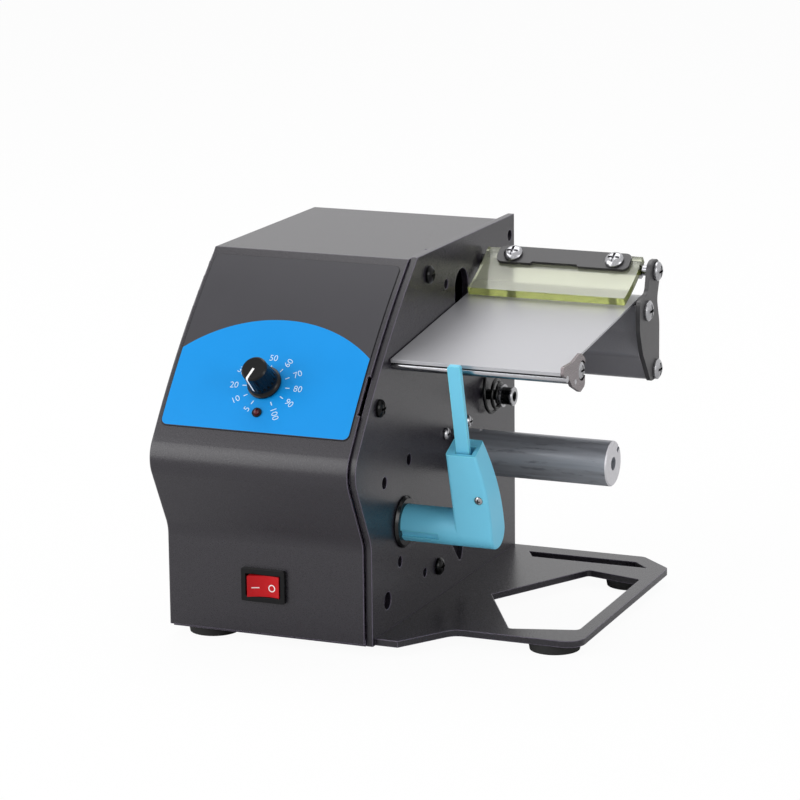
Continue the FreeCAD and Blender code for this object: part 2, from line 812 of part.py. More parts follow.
def speed_knob():
    flutes = []
    for i in range(knob_flutes):
        turn = 2 * math.pi * (i + 0.5) / knob_flutes
        flutes.append(Part.makeCylinder(knob_flute_radius, knob_height,
                                        vec((knob_grip_radius + 0.1) * math.cos(turn),
                                            (knob_grip_radius + 0.1) * math.sin(turn),
                                            knob_lift + knob_skirt_height + 0.8)))
    socket = Part.makeCylinder(pot_shaft_radius + seat, knob_height - 2.5, vec(0, 0, knob_lift))
    room = Part.makeCylinder(pot_bush_radius + 1.9, 2.0, vec(0, 0, knob_lift))
    return on_dial(knob_body(0).cut(flutes + [socket, room, pointer_line()]))


def on_dial(shape):
    """Set a piece on the dial axis with its pointer at the low end of the scale."""
    turned = shape.copy()
    turned.Placement = panel_frame(dial_x, dial_up, overlay_top).multiply(
        FreeCAD.Placement(vec(0, 0, 0), FreeCAD.Rotation(Z_AXIS, pointer_rest)))
    return turned


def knob_pointer():
    return on_dial(pointer_line())


def pot_shaft():
    length = knob_lift + knob_height - 2.5
    return on_dial(Part.makeCylinder(pot_shaft_radius, length + pot_bush_length - 1.0,
                                     vec(0, 0, -pot_bush_length + 1.0)))


def potentiometer():
    wall = sheet + overlay_top
    crown = pot_body_radius ** 2 / (2 * panel_radius) + seat
    bush = Part.makeCylinder(pot_bush_radius, wall + crown + 1.0 + pot_bush_proud, vec(0, 0, -wall - crown - 1.0))
    body = Part.makeCylinder(pot_body_radius, pot_body_depth, vec(0, 0, -wall - crown - pot_body_depth))
    tabs = [box(x - 0.6, x + 0.6, pot_body_radius - 1.5, pot_body_radius + 6, -wall - 3.4, -wall - 2.6)
            for x in (-4, 0, 4)]
    pot = fuse([bush, body] + tabs)
    bore = Part.makeCylinder(pot_shaft_radius + slip, pot_bush_length + 4, vec(0, 0, -pot_bush_length))
    pot = pot.cut(bore)
    pot.Placement = panel_frame(dial_x, dial_up, overlay_top)
    return pot


def pot_nut():
    thick = 1.7
    nut = Part.Face(Part.makePolygon([vec(pot_nut_size * math.cos(math.radians(a)),
                                          pot_nut_size * math.sin(math.radians(a)), 0)
                                      for a in range(0, 361, 60)])).extrude(vec(0, 0, thick))
    nut = nut.cut(Part.makeCylinder(pot_bush_radius + seat / 2, 4, vec(0, 0, -1)))
    nut.Placement = panel_frame(dial_x, dial_up, overlay_top)
    return nut


def led_bezel():
    depth = overlay_top + sheet + 3
    ring = Part.makeCylinder(led_bezel_radius, 0.6)
    sleeve = Part.makeCylinder(led_lens_radius + 0.3, depth, vec(0, 0, -depth))
    bore = Part.makeCylinder(led_lens_radius, depth + 2, vec(0, 0, -depth - 1))
    bezel = fuse([ring, sleeve]).cut(bore)
    bezel.Placement = panel_frame(dial_x, dial_up - led_drop, overlay_top)
    return bezel


def led_lens():
    stem = Part.makeCylinder(led_lens_radius - seat / 2, 6.5, vec(0, 0, -6))
    dome = Part.makeSphere(led_lens_radius - seat / 2, vec(0, 0, 0.5))
    lens = fuse([stem, dome])
    lens.Placement = panel_frame(dial_x, dial_up - led_drop, overlay_top)
    return lens


# Rocker switch

def power_switch_body():
    front = cover_front - bezel_proud
    bezel = plate_prism([(switch_x - bezel_width / 2, switch_height - bezel_tall / 2, 0.8),
                         (switch_x + bezel_width / 2, switch_height - bezel_tall / 2, 0.8),
                         (switch_x + bezel_width / 2, switch_height + bezel_tall / 2, 0.8),
                         (switch_x - bezel_width / 2, switch_height + bezel_tall / 2, 0.8)],
                        to_front(front), vec(0, bezel_proud, 0))
    body = box(switch_x - switch_body_width / 2, switch_x + switch_body_width / 2, cover_front,
               cover_front + switch_body_depth,
               switch_height - switch_body_tall / 2, switch_height + switch_body_tall / 2)
    well = box(switch_x - rocker_width / 2 - rocker_room, switch_x + rocker_width / 2 + rocker_room, front - 1,
               cover_front + 9, switch_height - rocker_tall / 2 - 0.3, switch_height + rocker_tall / 2 + 0.3)
    back = cover_front + switch_body_depth
    tabs = [box(switch_x + x - 0.4, switch_x + x + 0.4, back - 1, back + terminal_length,
                switch_height - 2.4, switch_height + 2.4) for x in (-6.5, 0, 6.5)]
    return fuse([fuse([bezel, body]).cut(well)] + tabs)


def rocker_axis():
    return vec(switch_x, cover_front + 2.0, switch_height)


def power_rocker():
    """The rocker: a shallow dished front on a body that tips about an upright axis."""
    half = rocker_width / 2
    crest = cover_front - bezel_proud - rocker_proud
    base = cover_front + 3.4
    edges = [Part.Arc(vec(-half, crest, 0), vec(0, crest + half ** 2 / (2 * rocker_radius) + 0.6, 0),
                      vec(half, crest, 0)).toShape(),
             Part.LineSegment(vec(half, crest, 0), vec(half - 0.5, base, 0)).toShape(),
             Part.LineSegment(vec(half - 0.5, base, 0), vec(-half + 0.5, base, 0)).toShape(),
             Part.LineSegment(vec(-half + 0.5, base, 0), vec(-half, crest, 0)).toShape()]
    rocker = Part.Face(Part.Wire(edges)).extrude(vec(0, 0, rocker_tall))
    rocker.translate(vec(switch_x, 0, switch_height - rocker_tall / 2))
    pivot = rocker_axis()
    return rocker.rotated(pivot, Z_AXIS, rocker_tilt)


# Take-up drive

def take_up_y():
    return motor_y + motor_offset_y


def take_up_z():
    return motor_z + motor_offset_z


def motor_screw_places():
    places = []
    for turn in (150, 30, 270):
        places.append((motor_y + motor_screw_circle * math.cos(math.radians(turn)),
                       motor_z + motor_screw_circle * math.sin(math.radians(turn))))
    return places


def gear_motor():
    face = -plate_thick
    gearbox = rod(face - gearbox_length, face, motor_y, motor_z, gearbox_radius)
    can = rod(face - gearbox_length - motor_length, face - gearbox_length, motor_y, motor_z, motor_radius)
    bump = rod(face - gearbox_length - motor_length - 2.5, face - gearbox_length, motor_y, motor_z, 5)
    boss = rod(face, face + boss_length, take_up_y(), take_up_z(), boss_radius)
    tail = face - gearbox_length - motor_length
    tabs = [box(tail - 5, tail + 0.5, motor_y - 2, motor_y + 2, motor_z + dz - 0.4, motor_z + dz + 0.4)
            for dz in (-10, 10)]
    motor = fuse([gearbox, can, bump, boss] + tabs)
    cuts = [rod(face - 12, face + boss_length + 1, take_up_y(), take_up_z(), drive_radius + slip)]
    cuts += [rod(face - 5, face + 1, y, z, silver_shank_radius) for y, z in motor_screw_places()]
    return motor.cut(cuts)


def motor_screws():
    screws = [aimed(pan_screw(silver_head_radius, silver_head_height, silver_shank_radius, plate_thick + 4),
                    vec(0, y, z), X_AXIS) for y, z in motor_screw_places()]
    return Part.makeCompound(screws)


def take_up_start():
    return boss_length - plate_thick + 2 * flange_gap


def drive_shaft():
    start = -plate_thick - 12 + flange_gap
    shaft = rod(start, take_up_start() + 20, take_up_y(), take_up_z(), drive_radius)
    flat = box(take_up_start(), take_up_start() + 21, take_up_y() - 4, take_up_y() + 4,
               take_up_z() + drive_radius - drive_flat, take_up_z() + drive_radius + 1)
    return shaft.cut(flat)


def take_up_shaft():
    y, z = take_up_y(), take_up_z()
    start = take_up_start()
    shaft = rod(start, take_up_end, y, z, take_up_radius)
    shaft = shaft.makeChamfer(0.6, [edge for edge in shaft.Edges if edge.Length > 2 * math.pi * take_up_radius - 0.1
                                    and edge.Closed])
    slit = Part.makeBox(take_up_end, take_up_slit, take_up_slit_depth + 1,
                        vec(start + 12, -take_up_slit / 2, take_up_radius - take_up_slit_depth))
    slit.Placement = FreeCAD.Placement(vec(0, y, z), FreeCAD.Rotation(X_AXIS, take_up_slit_angle - 90))
    bore = rod(start - 1, start + 22, y, z, drive_radius)
    mouth = rod(take_up_end - take_up_mouth * 3, take_up_end + 1, y, z, take_up_bore)
    grub = Part.makeCylinder(1.5, take_up_radius + 1, vec(start + 8, y, z), Z_AXIS)
    return shaft.cut([slit, bore, mouth, grub])


def take_up_grub():
    y, z = take_up_y(), take_up_z()
    length = take_up_radius - drive_radius + drive_flat - 1.5
    grub = Part.makeCylinder(1.5, length, vec(take_up_start() + 8, y, z + drive_radius - drive_flat), Z_AXIS)
    return grub.cut(Part.makeCylinder(0.75, 1.5, vec(take_up_start() + 8, y, z + drive_radius - drive_flat + length - 1.5)))


# Feeler arm, built upright round its tube axis and then leaned forwards

def arm_frame(shape):
    shape.Placement = FreeCAD.Placement(vec(0, arm_y, arm_z), FreeCAD.Rotation(X_AXIS, arm_lean)).multiply(
        shape.Placement)
    return shape


def channel_box(x0, x1, width, inner, outer):
    """A bar along the tube, at the channel's angle round its axis."""
    bar = Part.makeBox(x1 - x0, outer - inner, width, vec(x0, inner, -width / 2))
    bar.Placement = FreeCAD.Placement(vec(0, 0, 0), FreeCAD.Rotation(X_AXIS, channel_angle))
    return bar


def sensor_hub():
    flange = rod(flange_gap, flange_gap + hub_flange_thick, 0, 0, hub_flange_radius)
    flange = flange.makeChamfer(hub_flange_bevel, [edge for edge in flange.Edges
                                                   if edge.BoundBox.XMin > hub_flange_thick and edge.Closed])
    sleeve = rod(-hub_length, flange_gap, 0, 0, hub_radius)
    bore = rod(-hub_length - 1, hub_flange_thick + 2, 0, 0, tube_radius + slip)
    key = channel_box(-hub_length, flange_gap + hub_flange_thick, channel_width - 0.2,
                      tube_radius - channel_depth + 0.15, hub_radius - 0.5)
    return arm_frame(fuse([fuse([flange, sleeve]).cut(bore), key]))


def hub_ring():
    x = -plate_thick - flange_gap
    ring = rod(x - hub_ring_thick, x, 0, 0, hub_ring_radius)
    return arm_frame(ring.cut(rod(x - hub_ring_thick - 1, x + 1, 0, 0, hub_radius)))


def hub_lever():
    """The lever on the inner end of the hub, over the microswitch."""
    x = -plate_thick - lever_start
    half = lever_width / 2
    ring = rod(x - lever_thick, x, 0, 0, hub_radius + 2.5)
    bar = plate_prism([(0, -half, 0), (lever_length, -half, half * 0.99), (lever_length, half, half * 0.99),
                       (0, half, 0)], to_side(x - lever_thick), vec(lever_thick, 0, 0))
    bar.rotate(vec(0, 0, 0), X_AXIS, lever_angle - arm_lean)
    lever = fuse([ring, bar]).cut(rod(x - lever_thick - 1, x + 1, 0, 0, hub_radius))
    return arm_frame(lever)


def hub_spring():
    start = -hub_length + 1.0
    end = -plate_thick - lever_start - lever_thick - 2 * coil_wire
    radius = hub_radius + coil_wire + seat + slip
    spring = coil(vec(0, 0, 0), radius, radius, end - start, coil_turns, coil_wire)
    spring.Placement = FreeCAD.Placement(vec(start, 0, 0), FreeCAD.Rotation()).multiply(spring.Placement)
    return arm_frame(spring)


def microswitch():
    """A small switch on the inner face of the side plate, its plunger under the lever."""
    x = -plate_thick - microswitch_thick
    drop = lever_width / 2 + soft_gap + plunger_height
    body = box(x, -plate_thick, microswitch_from, microswitch_from + microswitch_length,
               -drop - microswitch_height, -drop)
    plunger = box(x + 1.6, -plate_thick - 1.6, microswitch_from + 7, microswitch_from + 9.5,
                  -drop, -drop + plunger_height)
    holes = [rod(x - 1, 0, microswitch_from + at, -drop - 7.5, 1.2) for at in (5.2, 14.8)]
    tabs = [box(x + 2.6, x + 3.4, microswitch_from + at - 1.2, microswitch_from + at + 1.2,
                -drop - microswitch_height - 5, -drop - microswitch_height + 0.5) for at in (2, 10, 18)]
    switch = fuse([body.cut(holes), plunger] + tabs)
    switch.Placement = FreeCAD.Placement(vec(0, arm_y, arm_z), FreeCAD.Rotation(X_AXIS, lever_angle))
    return switch


def tangent_point(y, z, radius, side):
    """Where a line from (y, z) touches the circle round the origin, on one side of it."""
    turn = math.atan2(z, y) + side * math.acos(radius / math.hypot(y, z))
    return radius * math.cos(turn), radius * math.sin(turn)


def head_side(x):
    """The head seen along the tube: the tube's round at the foot, then two straight tapers."""
    high = head_top + 3
    front = tangent_point(-head_front_top, high, tube_radius, 1)
    back = tangent_point(head_back_top, high, tube_radius, -1)
    place = to_side(x)
    return Part.Face(Part.Wire([
        Part.LineSegment(place(-head_front_top, high), place(*front)).toShape(),
        Part.Arc(place(*front), place(0, -tube_radius), place(*back)).toShape(),
        Part.LineSegment(place(*back), place(head_back_top, high)).toShape(),
        Part.LineSegment(place(head_back_top, high), place(-head_front_top, high)).toShape()]))


def head_front(y):
    """The head seen from the front: its free end stands upright and then leans in on an arc."""
    high = head_top + 3
    low = -tube_radius - 1
    lean = tube_end - head_right_top
    rise = high - head_upright
    radius = (rise ** 2 + lean ** 2) / (2 * lean)
    half = math.asin(rise / radius) / 2
    middle = (tube_end - radius * (1 - math.cos(half)), head_upright + radius * math.sin(half))
    place = to_front(y)
    return Part.Face(Part.Wire([
        Part.LineSegment(place(head_left_low, low), place(tube_end, low)).toShape(),
        Part.LineSegment(place(tube_end, low), place(tube_end, head_upright)).toShape(),
        Part.Arc(place(tube_end, head_upright), place(*middle), place(head_right_top, high)).toShape(),
        Part.LineSegment(place(head_right_top, high), place(head_left_top, high)).toShape(),
        Part.LineSegment(place(head_left_top, high), place(head_left_low, low)).toShape()]))


def arm_head():
    """The head: one outline along the tube and one from the front, with its rims rounded."""
    side = head_side(head_left_top - 2).extrude(vec(tube_end - head_left_top + 4, 0, 0))
    head = side.common(head_front(-2 * tube_radius).extrude(vec(0, 4 * tube_radius, 0)))
    rims = [edge for edge in head.Edges if edge.BoundBox.ZMin < head_top
            and not (edge.BoundBox.YLength > 1 and edge.BoundBox.ZLength < 0.01)
            and not (edge.BoundBox.XLength > 1 and edge.BoundBox.ZLength < 0.01)]
    head = head.makeFillet(head_round, rims)
    lid = box(-5, tube_end + 5, -30, 30, 0, 30)
    lid.rotate(vec(0, 0, 0), X_AXIS, head_top_slope)
    return head.cut(lid.translated(vec(0, 0, head_top)))


def sensor_arm():
    """Tube with its keyway and the tapering head that holds the feeler blade."""
    tube = rod(-tube_inside, head_left_low + 3, 0, 0, tube_radius)
    hollow = rod(-tube_inside - 1, head_left_low - 2, 0, 0, tube_radius - tube_wall)
    arm = fuse([tube, arm_head()]).cut(hollow)
    channel = channel_box(-tube_inside - 1, channel_end, channel_width, tube_radius - channel_depth,
                          tube_radius + 2)
    pocket = box(blade_left - blade_room, blade_left + blade_width + blade_room,
                 -blade_front - blade_room, -blade_front + blade_thick + blade_room,
                 blade_foot - 8.5, head_top + 5)
    mouth = box(blade_left - blade_room, blade_left + blade_width + slot_room_side,
                -blade_front - slot_room_front, -blade_front + blade_thick + slot_room_back,
                head_top - slot_rim_depth, head_top + 5)
    hole = Part.makeCylinder(1.0, 12, vec(arm_screw_x, -head_front_top - 5, arm_screw_up), Y_AXIS)
    spot = Part.makeCylinder(arm_screw_radius + seat, 6, vec(arm_screw_x, -arm_screw_face() + seat, arm_screw_up),
                             vec(0, -1, 0))
    return arm_frame(arm.cut([channel, pocket, mouth, hole, spot]))


def arm_screw_face():
    """How far in front of the tube axis the screw's seat on the head lies."""
    high = head_top + 3
    foot_y, foot_z = tangent_point(-head_front_top, high, tube_radius, 1)
    share = (high - arm_screw_up) / (high - foot_z)
    return head_front_top + (-foot_y - head_front_top) * share - arm_screw_sink


def arm_screw():
    face = arm_screw_face()
    head = pan_screw(arm_screw_radius, 1.0, 1.0 - seat / 2, 7.5)
    return arm_frame(aimed(head, vec(arm_screw_x, -face, arm_screw_up), vec(0, -1, 0)))


def feeler_blade():
    corner = 1.2
    blade = plate_prism([(blade_left, blade_foot, 0), (blade_left + blade_width, blade_foot, 0),
                         (blade_left + blade_width, blade_tip, corner), (blade_left, blade_tip, corner)],
                        to_front(-blade_front), vec(0, blade_thick, 0))
    return arm_frame(blade)


# Peeling table

def table_point(along, down=0.0):
    """A point on the table's top surface, measured from its front edge, and down into it."""
    slope = math.radians(table_slope)
    return (table_front_y + along * math.cos(slope) + down * math.sin(slope),
            table_front_z + along * math.sin(slope) - down * math.cos(slope))


def peel_table():
    """Bright sheet with a folded lip in front and a tail that rolls down behind."""
    slope = math.radians(table_slope)
    centre = table_point(table_length, table_tail_radius)
    steps = [math.pi / 2 + slope - math.radians(table_tail_angle) * share for share in (0, 0.5, 1)]
    tail_out = [(centre[0] + table_tail_radius * math.cos(a), centre[1] + table_tail_radius * math.sin(a))
                for a in steps]
    inner = table_tail_radius - table_sheet
    tail_in = [(centre[0] + inner * math.cos(a), centre[1] + inner * math.sin(a)) for a in steps]
    place = to_side(table_left)
    front = table_point(0)
    lip_foot = table_point(0, table_lip)
    lip_back = table_point(0.6, table_lip)
    inside = table_point(0.6, table_sheet)
    edges = [Part.LineSegment(place(*front), place(*tail_out[0])).toShape(),
             Part.Arc(*[place(*point) for point in tail_out]).toShape(),
             Part.LineSegment(place(*tail_out[2]), place(*tail_in[2])).toShape(),
             Part.Arc(*[place(*point) for point in reversed(tail_in)]).toShape(),
             Part.LineSegment(place(*tail_in[0]), place(*inside)).toShape(),
             Part.LineSegment(place(*inside), place(*lip_back)).toShape(),
             Part.LineSegment(place(*lip_back), place(*lip_foot)).toShape(),
             Part.LineSegment(place(*lip_foot), place(*front)).toShape()]
    return Part.Face(Part.Wire(edges)).extrude(vec(table_right - table_left, 0, 0))


def peel_rod_place():
    return table_point(peel_rod_back, table_lip + peel_rod_gap + peel_rod_radius)


def wire_place():
    return table_point(wire_back, wire_drop)


def support_place():
    return table_point(support_along, table_sheet + support_radius)


def table_rod_places():
    return [peel_rod_place() + (peel_rod_radius,), wire_place() + (wire_radius,),
            support_place() + (support_radius,)]


def table_rod(place, radius, right, tapped=0.0):
    y, z = place
    bar = rod(-plate_thick, right, y, z, radius)
    if tapped > 0:
        bar = bar.cut(rod(right - 12, right + 1, y, z, tapped))
    return bar


def clip_left():
    return table_right + clip_gap


def end_clip():
    """Stamped plate on the free end: a nose for the peel rod and an ear for the screw."""
    support = support_place()
    peel = peel_rod_place()
    outline = [(support[0] + 3.9, support[1] + 4.8, 2.0), (support[0] - 1.6, support[1] + 8.0, 1.6),
               (support[0] - 11.5, support[1] + 5.9, 1.2), (peel[0] - 4.2, peel[1] + 6.0, 1.0),
               (peel[0] - 4.8, peel[1] + 2.4, 1.0), (peel[0] + 2.4, peel[1] - 0.8, 0.6),
               (support[0] - 12.4, support[1] - 4.6, 1.2), (support[0] - 2.2, support[1] - 9.2, 2.0),
               (support[0] + 3.4, support[1] - 7.4, 2.4)]
    plate = plate_prism(outline, to_side(clip_left()), vec(clip_thick, 0, 0))
    cuts = [rod(clip_left() - 1, clip_left() + 3, support[0], support[1], end_shank_radius + seat),
            rod(clip_left() - 1, clip_left() + 3, peel[0], peel[1], peel_rod_radius + seat)]
    wire = wire_place()
    cuts.append(rod(clip_left() - 1, clip_left() + 3, wire[0], wire[1], wire_radius + seat))
    cuts.append(rod(clip_seat(), clip_left() + 3, support[0], support[1], clip_recess_radius))
    return plate.cut(cuts)


def clip_seat():
    """The floor of the clip's recess, on which its screw's head sits."""
    return clip_left() + clip_thick - clip_recess_depth


def clip_screw():
    support = support_place()
    head = pan_screw(clip_head_radius, clip_head_height, end_shank_radius, 10)
    return aimed(head, vec(clip_seat(), support[0], support[1]), X_AXIS)


# End bracket, tie rods and guide

def tie_places():
    high = table_point(tie_along, table_sheet + tie_radius)
    return [high + (tie_radius,), (low_tie_y, low_tie_z, tie_radius)]


def tie_rods():
    rods = []
    for y, z, radius in tie_places():
        bar = rod(-plate_thick, bracket_left, y, z, radius)
        rods.append(bar.cut(rod(bracket_left - 12, bracket_left + 1, y, z, end_shank_radius)))
    return Part.makeCompound(rods)


def end_bracket():
    """The free-end plate: a head round the flap shaft, a broad belly and a narrow foot."""
    high_y, high_z, _ = tie_places()[0]
    outline = [(flap_axis_y - 7.4, flap_axis_z + 5.6, 5.5), (flap_axis_y + 5.0, flap_axis_z + 5.6, 5.5),
               (flap_axis_y + 5.0, flap_axis_z - 4.0, 4.0), (flap_axis_y + 1.6, high_z + 3.0, 8.0),
               (low_tie_y + 4.4, high_z - 8.0, 14.0), (low_tie_y + 4.4, low_tie_z - 4.4, 4.0),
               (low_tie_y - 7.0, low_tie_z - 4.4, 3.0), (high_y - 5.6, low_tie_z + 10.5, 18.0),
               (high_y - 9.8, high_z - 8.0, 14.0), (high_y - 9.8, high_z + 5.6, 2.0),
               (flap_axis_y - 10.6, high_z + 8.2, 4.0)]
    plate = plate_prism(outline, to_side(bracket_left), vec(bracket_thick, 0, 0))
    cuts = [rod(bracket_left - 1, bracket_left + 4, y, z, end_shank_radius + seat) for y, z, _ in tie_places()]
    cuts.append(rod(bracket_left - 1, bracket_left + 4, flap_axis_y, flap_axis_z, flap_journal_radius + slip))
    return plate.cut(cuts)


def bracket_screws():
    screws = []
    for y, z, _ in tie_places():
        head = pan_screw(end_head_radius, end_head_height, end_shank_radius, 10)
        screws.append(aimed(head, vec(bracket_left + bracket_thick, y, z), X_AXIS))
    return Part.makeCompound(screws)


def backing_guide():
    """Folded sheet that leads the empty backing down behind the table."""
    right = bracket_left
    # It stands against the front of the upper tie bar, just under the table.
    front_y = tie_places()[0][0] - tie_radius - guide_sheet / 2 - seat
    top_z = table_point((front_y - table_front_y) / math.cos(math.radians(table_slope)),
                        table_sheet + guide_sheet / 2 + seat)[1]
    # The last run touches the lower tie bar from below.
    clear = tie_radius + guide_sheet / 2 + seat
    away = math.dist((guide_low_y, guide_low_z), (low_tie_y, low_tie_z))
    run = math.sqrt(away ** 2 - clear ** 2)
    lean = math.atan2(low_tie_z - guide_low_z, low_tie_y - guide_low_y) - math.asin(clear / away)
    path = [(front_y, top_z), (front_y, guide_mid_z), (guide_knee_y, guide_knee_z), (guide_low_y, guide_low_z),
            (guide_low_y + run * math.cos(lean), guide_low_z + run * math.sin(lean))]
    radii = [0, 10.0, 3.0, 4.0, 0]
    place = to_side(table_left)
    edges = []
    last = path[0]
    for i in range(1, len(path) - 1):
        start, middle, end = corner_cut(path[i - 1], path[i], path[i + 1], radii[i])
        edges.append(Part.LineSegment(place(*last), place(*start)).toShape())
        edges.append(Part.Arc(place(*start), place(*middle), place(*end)).toShape())
        last = end
    edges.append(Part.LineSegment(place(*last), place(*path[-1])).toShape())
    line = Part.Wire(edges)
    strip = line.makeOffset2D(guide_sheet / 2, 0, False, True)
    back = line.makeOffset2D(-guide_sheet / 2, 0, False, True)
    ends = [Part.LineSegment(a, b).toShape() for a, b in
            ((strip.OrderedVertexes[0].Point, back.OrderedVertexes[0].Point),
             (strip.OrderedVertexes[-1].Point, back.OrderedVertexes[-1].Point))]
    face = Part.Face(Part.Wire(Part.__sortEdges__(strip.Edges + back.Edges + ends)))
    return face.extrude(vec(right - table_left, 0, 0))


# Pressing flap

def flap_slope():
    """Slope of the flap at its root, such that its tip stands just above the table."""
    chord = table_slope + 20.0
    for _ in range(30):
        root = math.radians(chord + flap_bend)
        over_y = flap_axis_y - math.sin(root) * flap_seat - table_front_y
        over_z = flap_axis_z + math.cos(root) * flap_seat - table_front_z
        tilt = math.radians(table_slope)
        height = over_z * math.cos(tilt) - over_y * math.sin(tilt)
        chord = table_slope + math.degrees(math.asin((height - soft_gap) / flap_reach))
    return chord + flap_bend


def flap_frame():
    """Clamp point under the flap, its direction up the slope and its outward normal."""
    slope = math.radians(flap_slope())
    along = (math.cos(slope), math.sin(slope))
    normal = (-math.sin(slope), math.cos(slope))
    clamp = (flap_axis_y + normal[0] * flap_seat, flap_axis_z + normal[1] * flap_seat)
    return clamp, along, normal


def flap_at(up, out):
    clamp, along, normal = flap_frame()
    return (clamp[0] + along[0] * up + normal[0] * out, clamp[1] + along[1] * up + normal[1] * out)


def press_flap():
    """Clear urethane sheet, dished between its tip on the table and its clamped root."""
    clamp, along, normal = flap_frame()
    radius = flap_reach / (2 * math.sin(math.radians(flap_bend)))
    centre = flap_at(0, radius)
    start = math.radians(flap_slope()) - math.pi / 2
    steps = [start - 2 * math.radians(flap_bend) * share for share in (0, 0.5, 1)]
    low = [(centre[0] + radius * math.cos(a), centre[1] + radius * math.sin(a)) for a in steps]
    inner = radius - flap_thick
    high = [(centre[0] + inner * math.cos(a), centre[1] + inner * math.sin(a)) for a in steps]
    root_low = flap_at(flap_tail, 0)
    root_high = flap_at(flap_tail, flap_thick)
    place = to_side(flap_left)
    edges = [Part.LineSegment(place(*root_low), place(*low[0])).toShape(),
             Part.Arc(*[place(*point) for point in low]).toShape(),
             Part.LineSegment(place(*low[2]), place(*high[2])).toShape(),
             Part.Arc(*[place(*point) for point in reversed(high)]).toShape(),
             Part.LineSegment(place(*high[0]), place(*root_high)).toShape(),
             Part.LineSegment(place(*root_high), place(*root_low)).toShape()]
    flap = Part.Face(Part.Wire(edges)).extrude(vec(flap_right - flap_left, 0, 0))
    return flap.cut([flap_hole(x, end_shank_radius + seat) for x in strip_screw_places()])


def strip_screw_places():
    return [strip_left + strip_screw_inset, strip_right - strip_screw_inset]


def flap_hole(x, radius):
    _, _, normal = flap_frame()
    low_y, low_z = flap_at(0, -flap_bar_radius)
    return Part.makeCylinder(radius, 20, vec(x, low_y, low_z), vec(0, normal[0], normal[1]))


def strip_seat():
    """Height of the strip over the clamp point: its lower edge rests on the dished sheet."""
    radius = flap_reach / (2 * math.sin(math.radians(flap_bend))) - flap_thick
    return flap_thick + (strip_width / 2) ** 2 / (2 * radius) + seat


def clamp_strip():
    """Dark steel strip with a shallow relief in its front edge, between its two screws."""
    half = strip_width / 2
    waist = -half + strip_waist
    outline = [(strip_left, -half, 3.0), (strip_notch_left, -half, strip_waist / 2),
               (strip_notch_left + strip_flank, waist, strip_waist / 2),
               (strip_notch_right - strip_flank, waist, strip_waist / 2),
               (strip_notch_right, -half, strip_waist / 2), (strip_right, -half, 3.0),
               (strip_right, half, 3.0), (strip_left, half, 3.0)]
    strip = plate_prism(outline, to_floor(0), vec(0, 0, strip_thick))
    seat_y, seat_z = flap_at(0, strip_seat())
    strip.Placement = FreeCAD.Placement(vec(0, seat_y, seat_z),
                                        FreeCAD.Rotation(X_AXIS, flap_slope()))
    return strip.cut([flap_hole(x, end_shank_radius + seat) for x in strip_screw_places()])


def strip_screws():
    _, _, normal = flap_frame()
    screws = []
    top_y, top_z = flap_at(0, strip_seat() + strip_thick)
    for x in strip_screw_places():
        head = pan_screw(strip_screw_radius, 2.6, end_shank_radius, flap_thick + strip_thick + 2.5)
        screws.append(aimed(head, vec(x, top_y, top_z), vec(0, normal[0], normal[1])))
    return Part.makeCompound(screws)


def flap_shaft():
    """Round bar with a milled flat under the flap, and a journal at each end."""
    _, along, normal = flap_frame()
    bar = rod(flap_left, flap_right, 0, 0, flap_bar_radius)
    flat = Part.makeBox(flap_right, 4 * flap_bar_radius, 2 * flap_bar_radius,
                        vec(flap_left - 1, -2 * flap_bar_radius, flap_seat))
    flat.rotate(vec(0, 0, 0), X_AXIS, flap_slope())
    journal = rod(-plate_thick - 3, bracket_left + bracket_thick + flange_gap, 0, 0, flap_journal_radius)
    shaft = fuse([bar.cut(flat), journal])
    flat_journal = flat.copy()
    shaft.translate(vec(0, flap_axis_y, flap_axis_z))
    flat_journal.translate(vec(0, flap_axis_y, flap_axis_z))
    shaft = shaft.cut([flat_journal] + [flap_hole(x, end_shank_radius) for x in strip_screw_places()])
    return shaft.cut(rod(bracket_left - 6, bracket_left + 6, flap_axis_y, flap_axis_z, silver_shank_radius))


def flap_end_screw():
    head = pan_screw(end_head_radius - 0.3, end_head_height, silver_shank_radius, 7)
    return aimed(head, vec(bracket_left + bracket_thick + flange_gap, flap_axis_y, flap_axis_z), X_AXIS)


def flap_retainer():
    """Snap ring on the inner end of the flap shaft, behind the side plate."""
    x = -plate_thick - flange_gap
    ring = rod(x - 0.8, x, flap_axis_y, flap_axis_z, flap_journal_radius + 2)
    return ring.cut(rod(x - 2, x + 1, flap_axis_y, flap_axis_z, flap_journal_radius))


# Tension stud

def stud_head():
    """Where the head of the tension stud starts, outside the washer."""
    return stud_spring_length + stud_washer_thick + 2 * seat


def tension_screw():
    """Black stud: a grooved barrel, and a neck through the bright end ring with a hexagon socket."""
    start = stud_head()
    end = start + stud_head_length
    shank = rod(-plate_thick - 4, start, stud_y, stud_z, stud_radius)
    barrel = rod(start, end - stud_ring_length, stud_y, stud_z, stud_head_radius)
    neck = rod(start, end - 0.3, stud_y, stud_z, stud_ring_inner)
    cuts = []
    for i in range(stud_grooves):
        x = start + (i + 0.6) * stud_groove_pitch
        tread = rod(x, x + stud_groove_pitch / 2, stud_y, stud_z, stud_head_radius + 1)
        cuts.append(tread.cut(rod(x - 1, x + 2, stud_y, stud_z, stud_head_radius - stud_groove_depth)))
    corners = [vec(end - 3, stud_y + stud_socket_radius * math.cos(math.radians(a)),
                   stud_z + stud_socket_radius * math.sin(math.radians(a))) for a in range(0, 361, 60)]
    cuts.append(Part.Face(Part.makePolygon(corners)).extrude(vec(4, 0, 0)))
    return fuse([shank, barrel, neck]).cut(cuts)


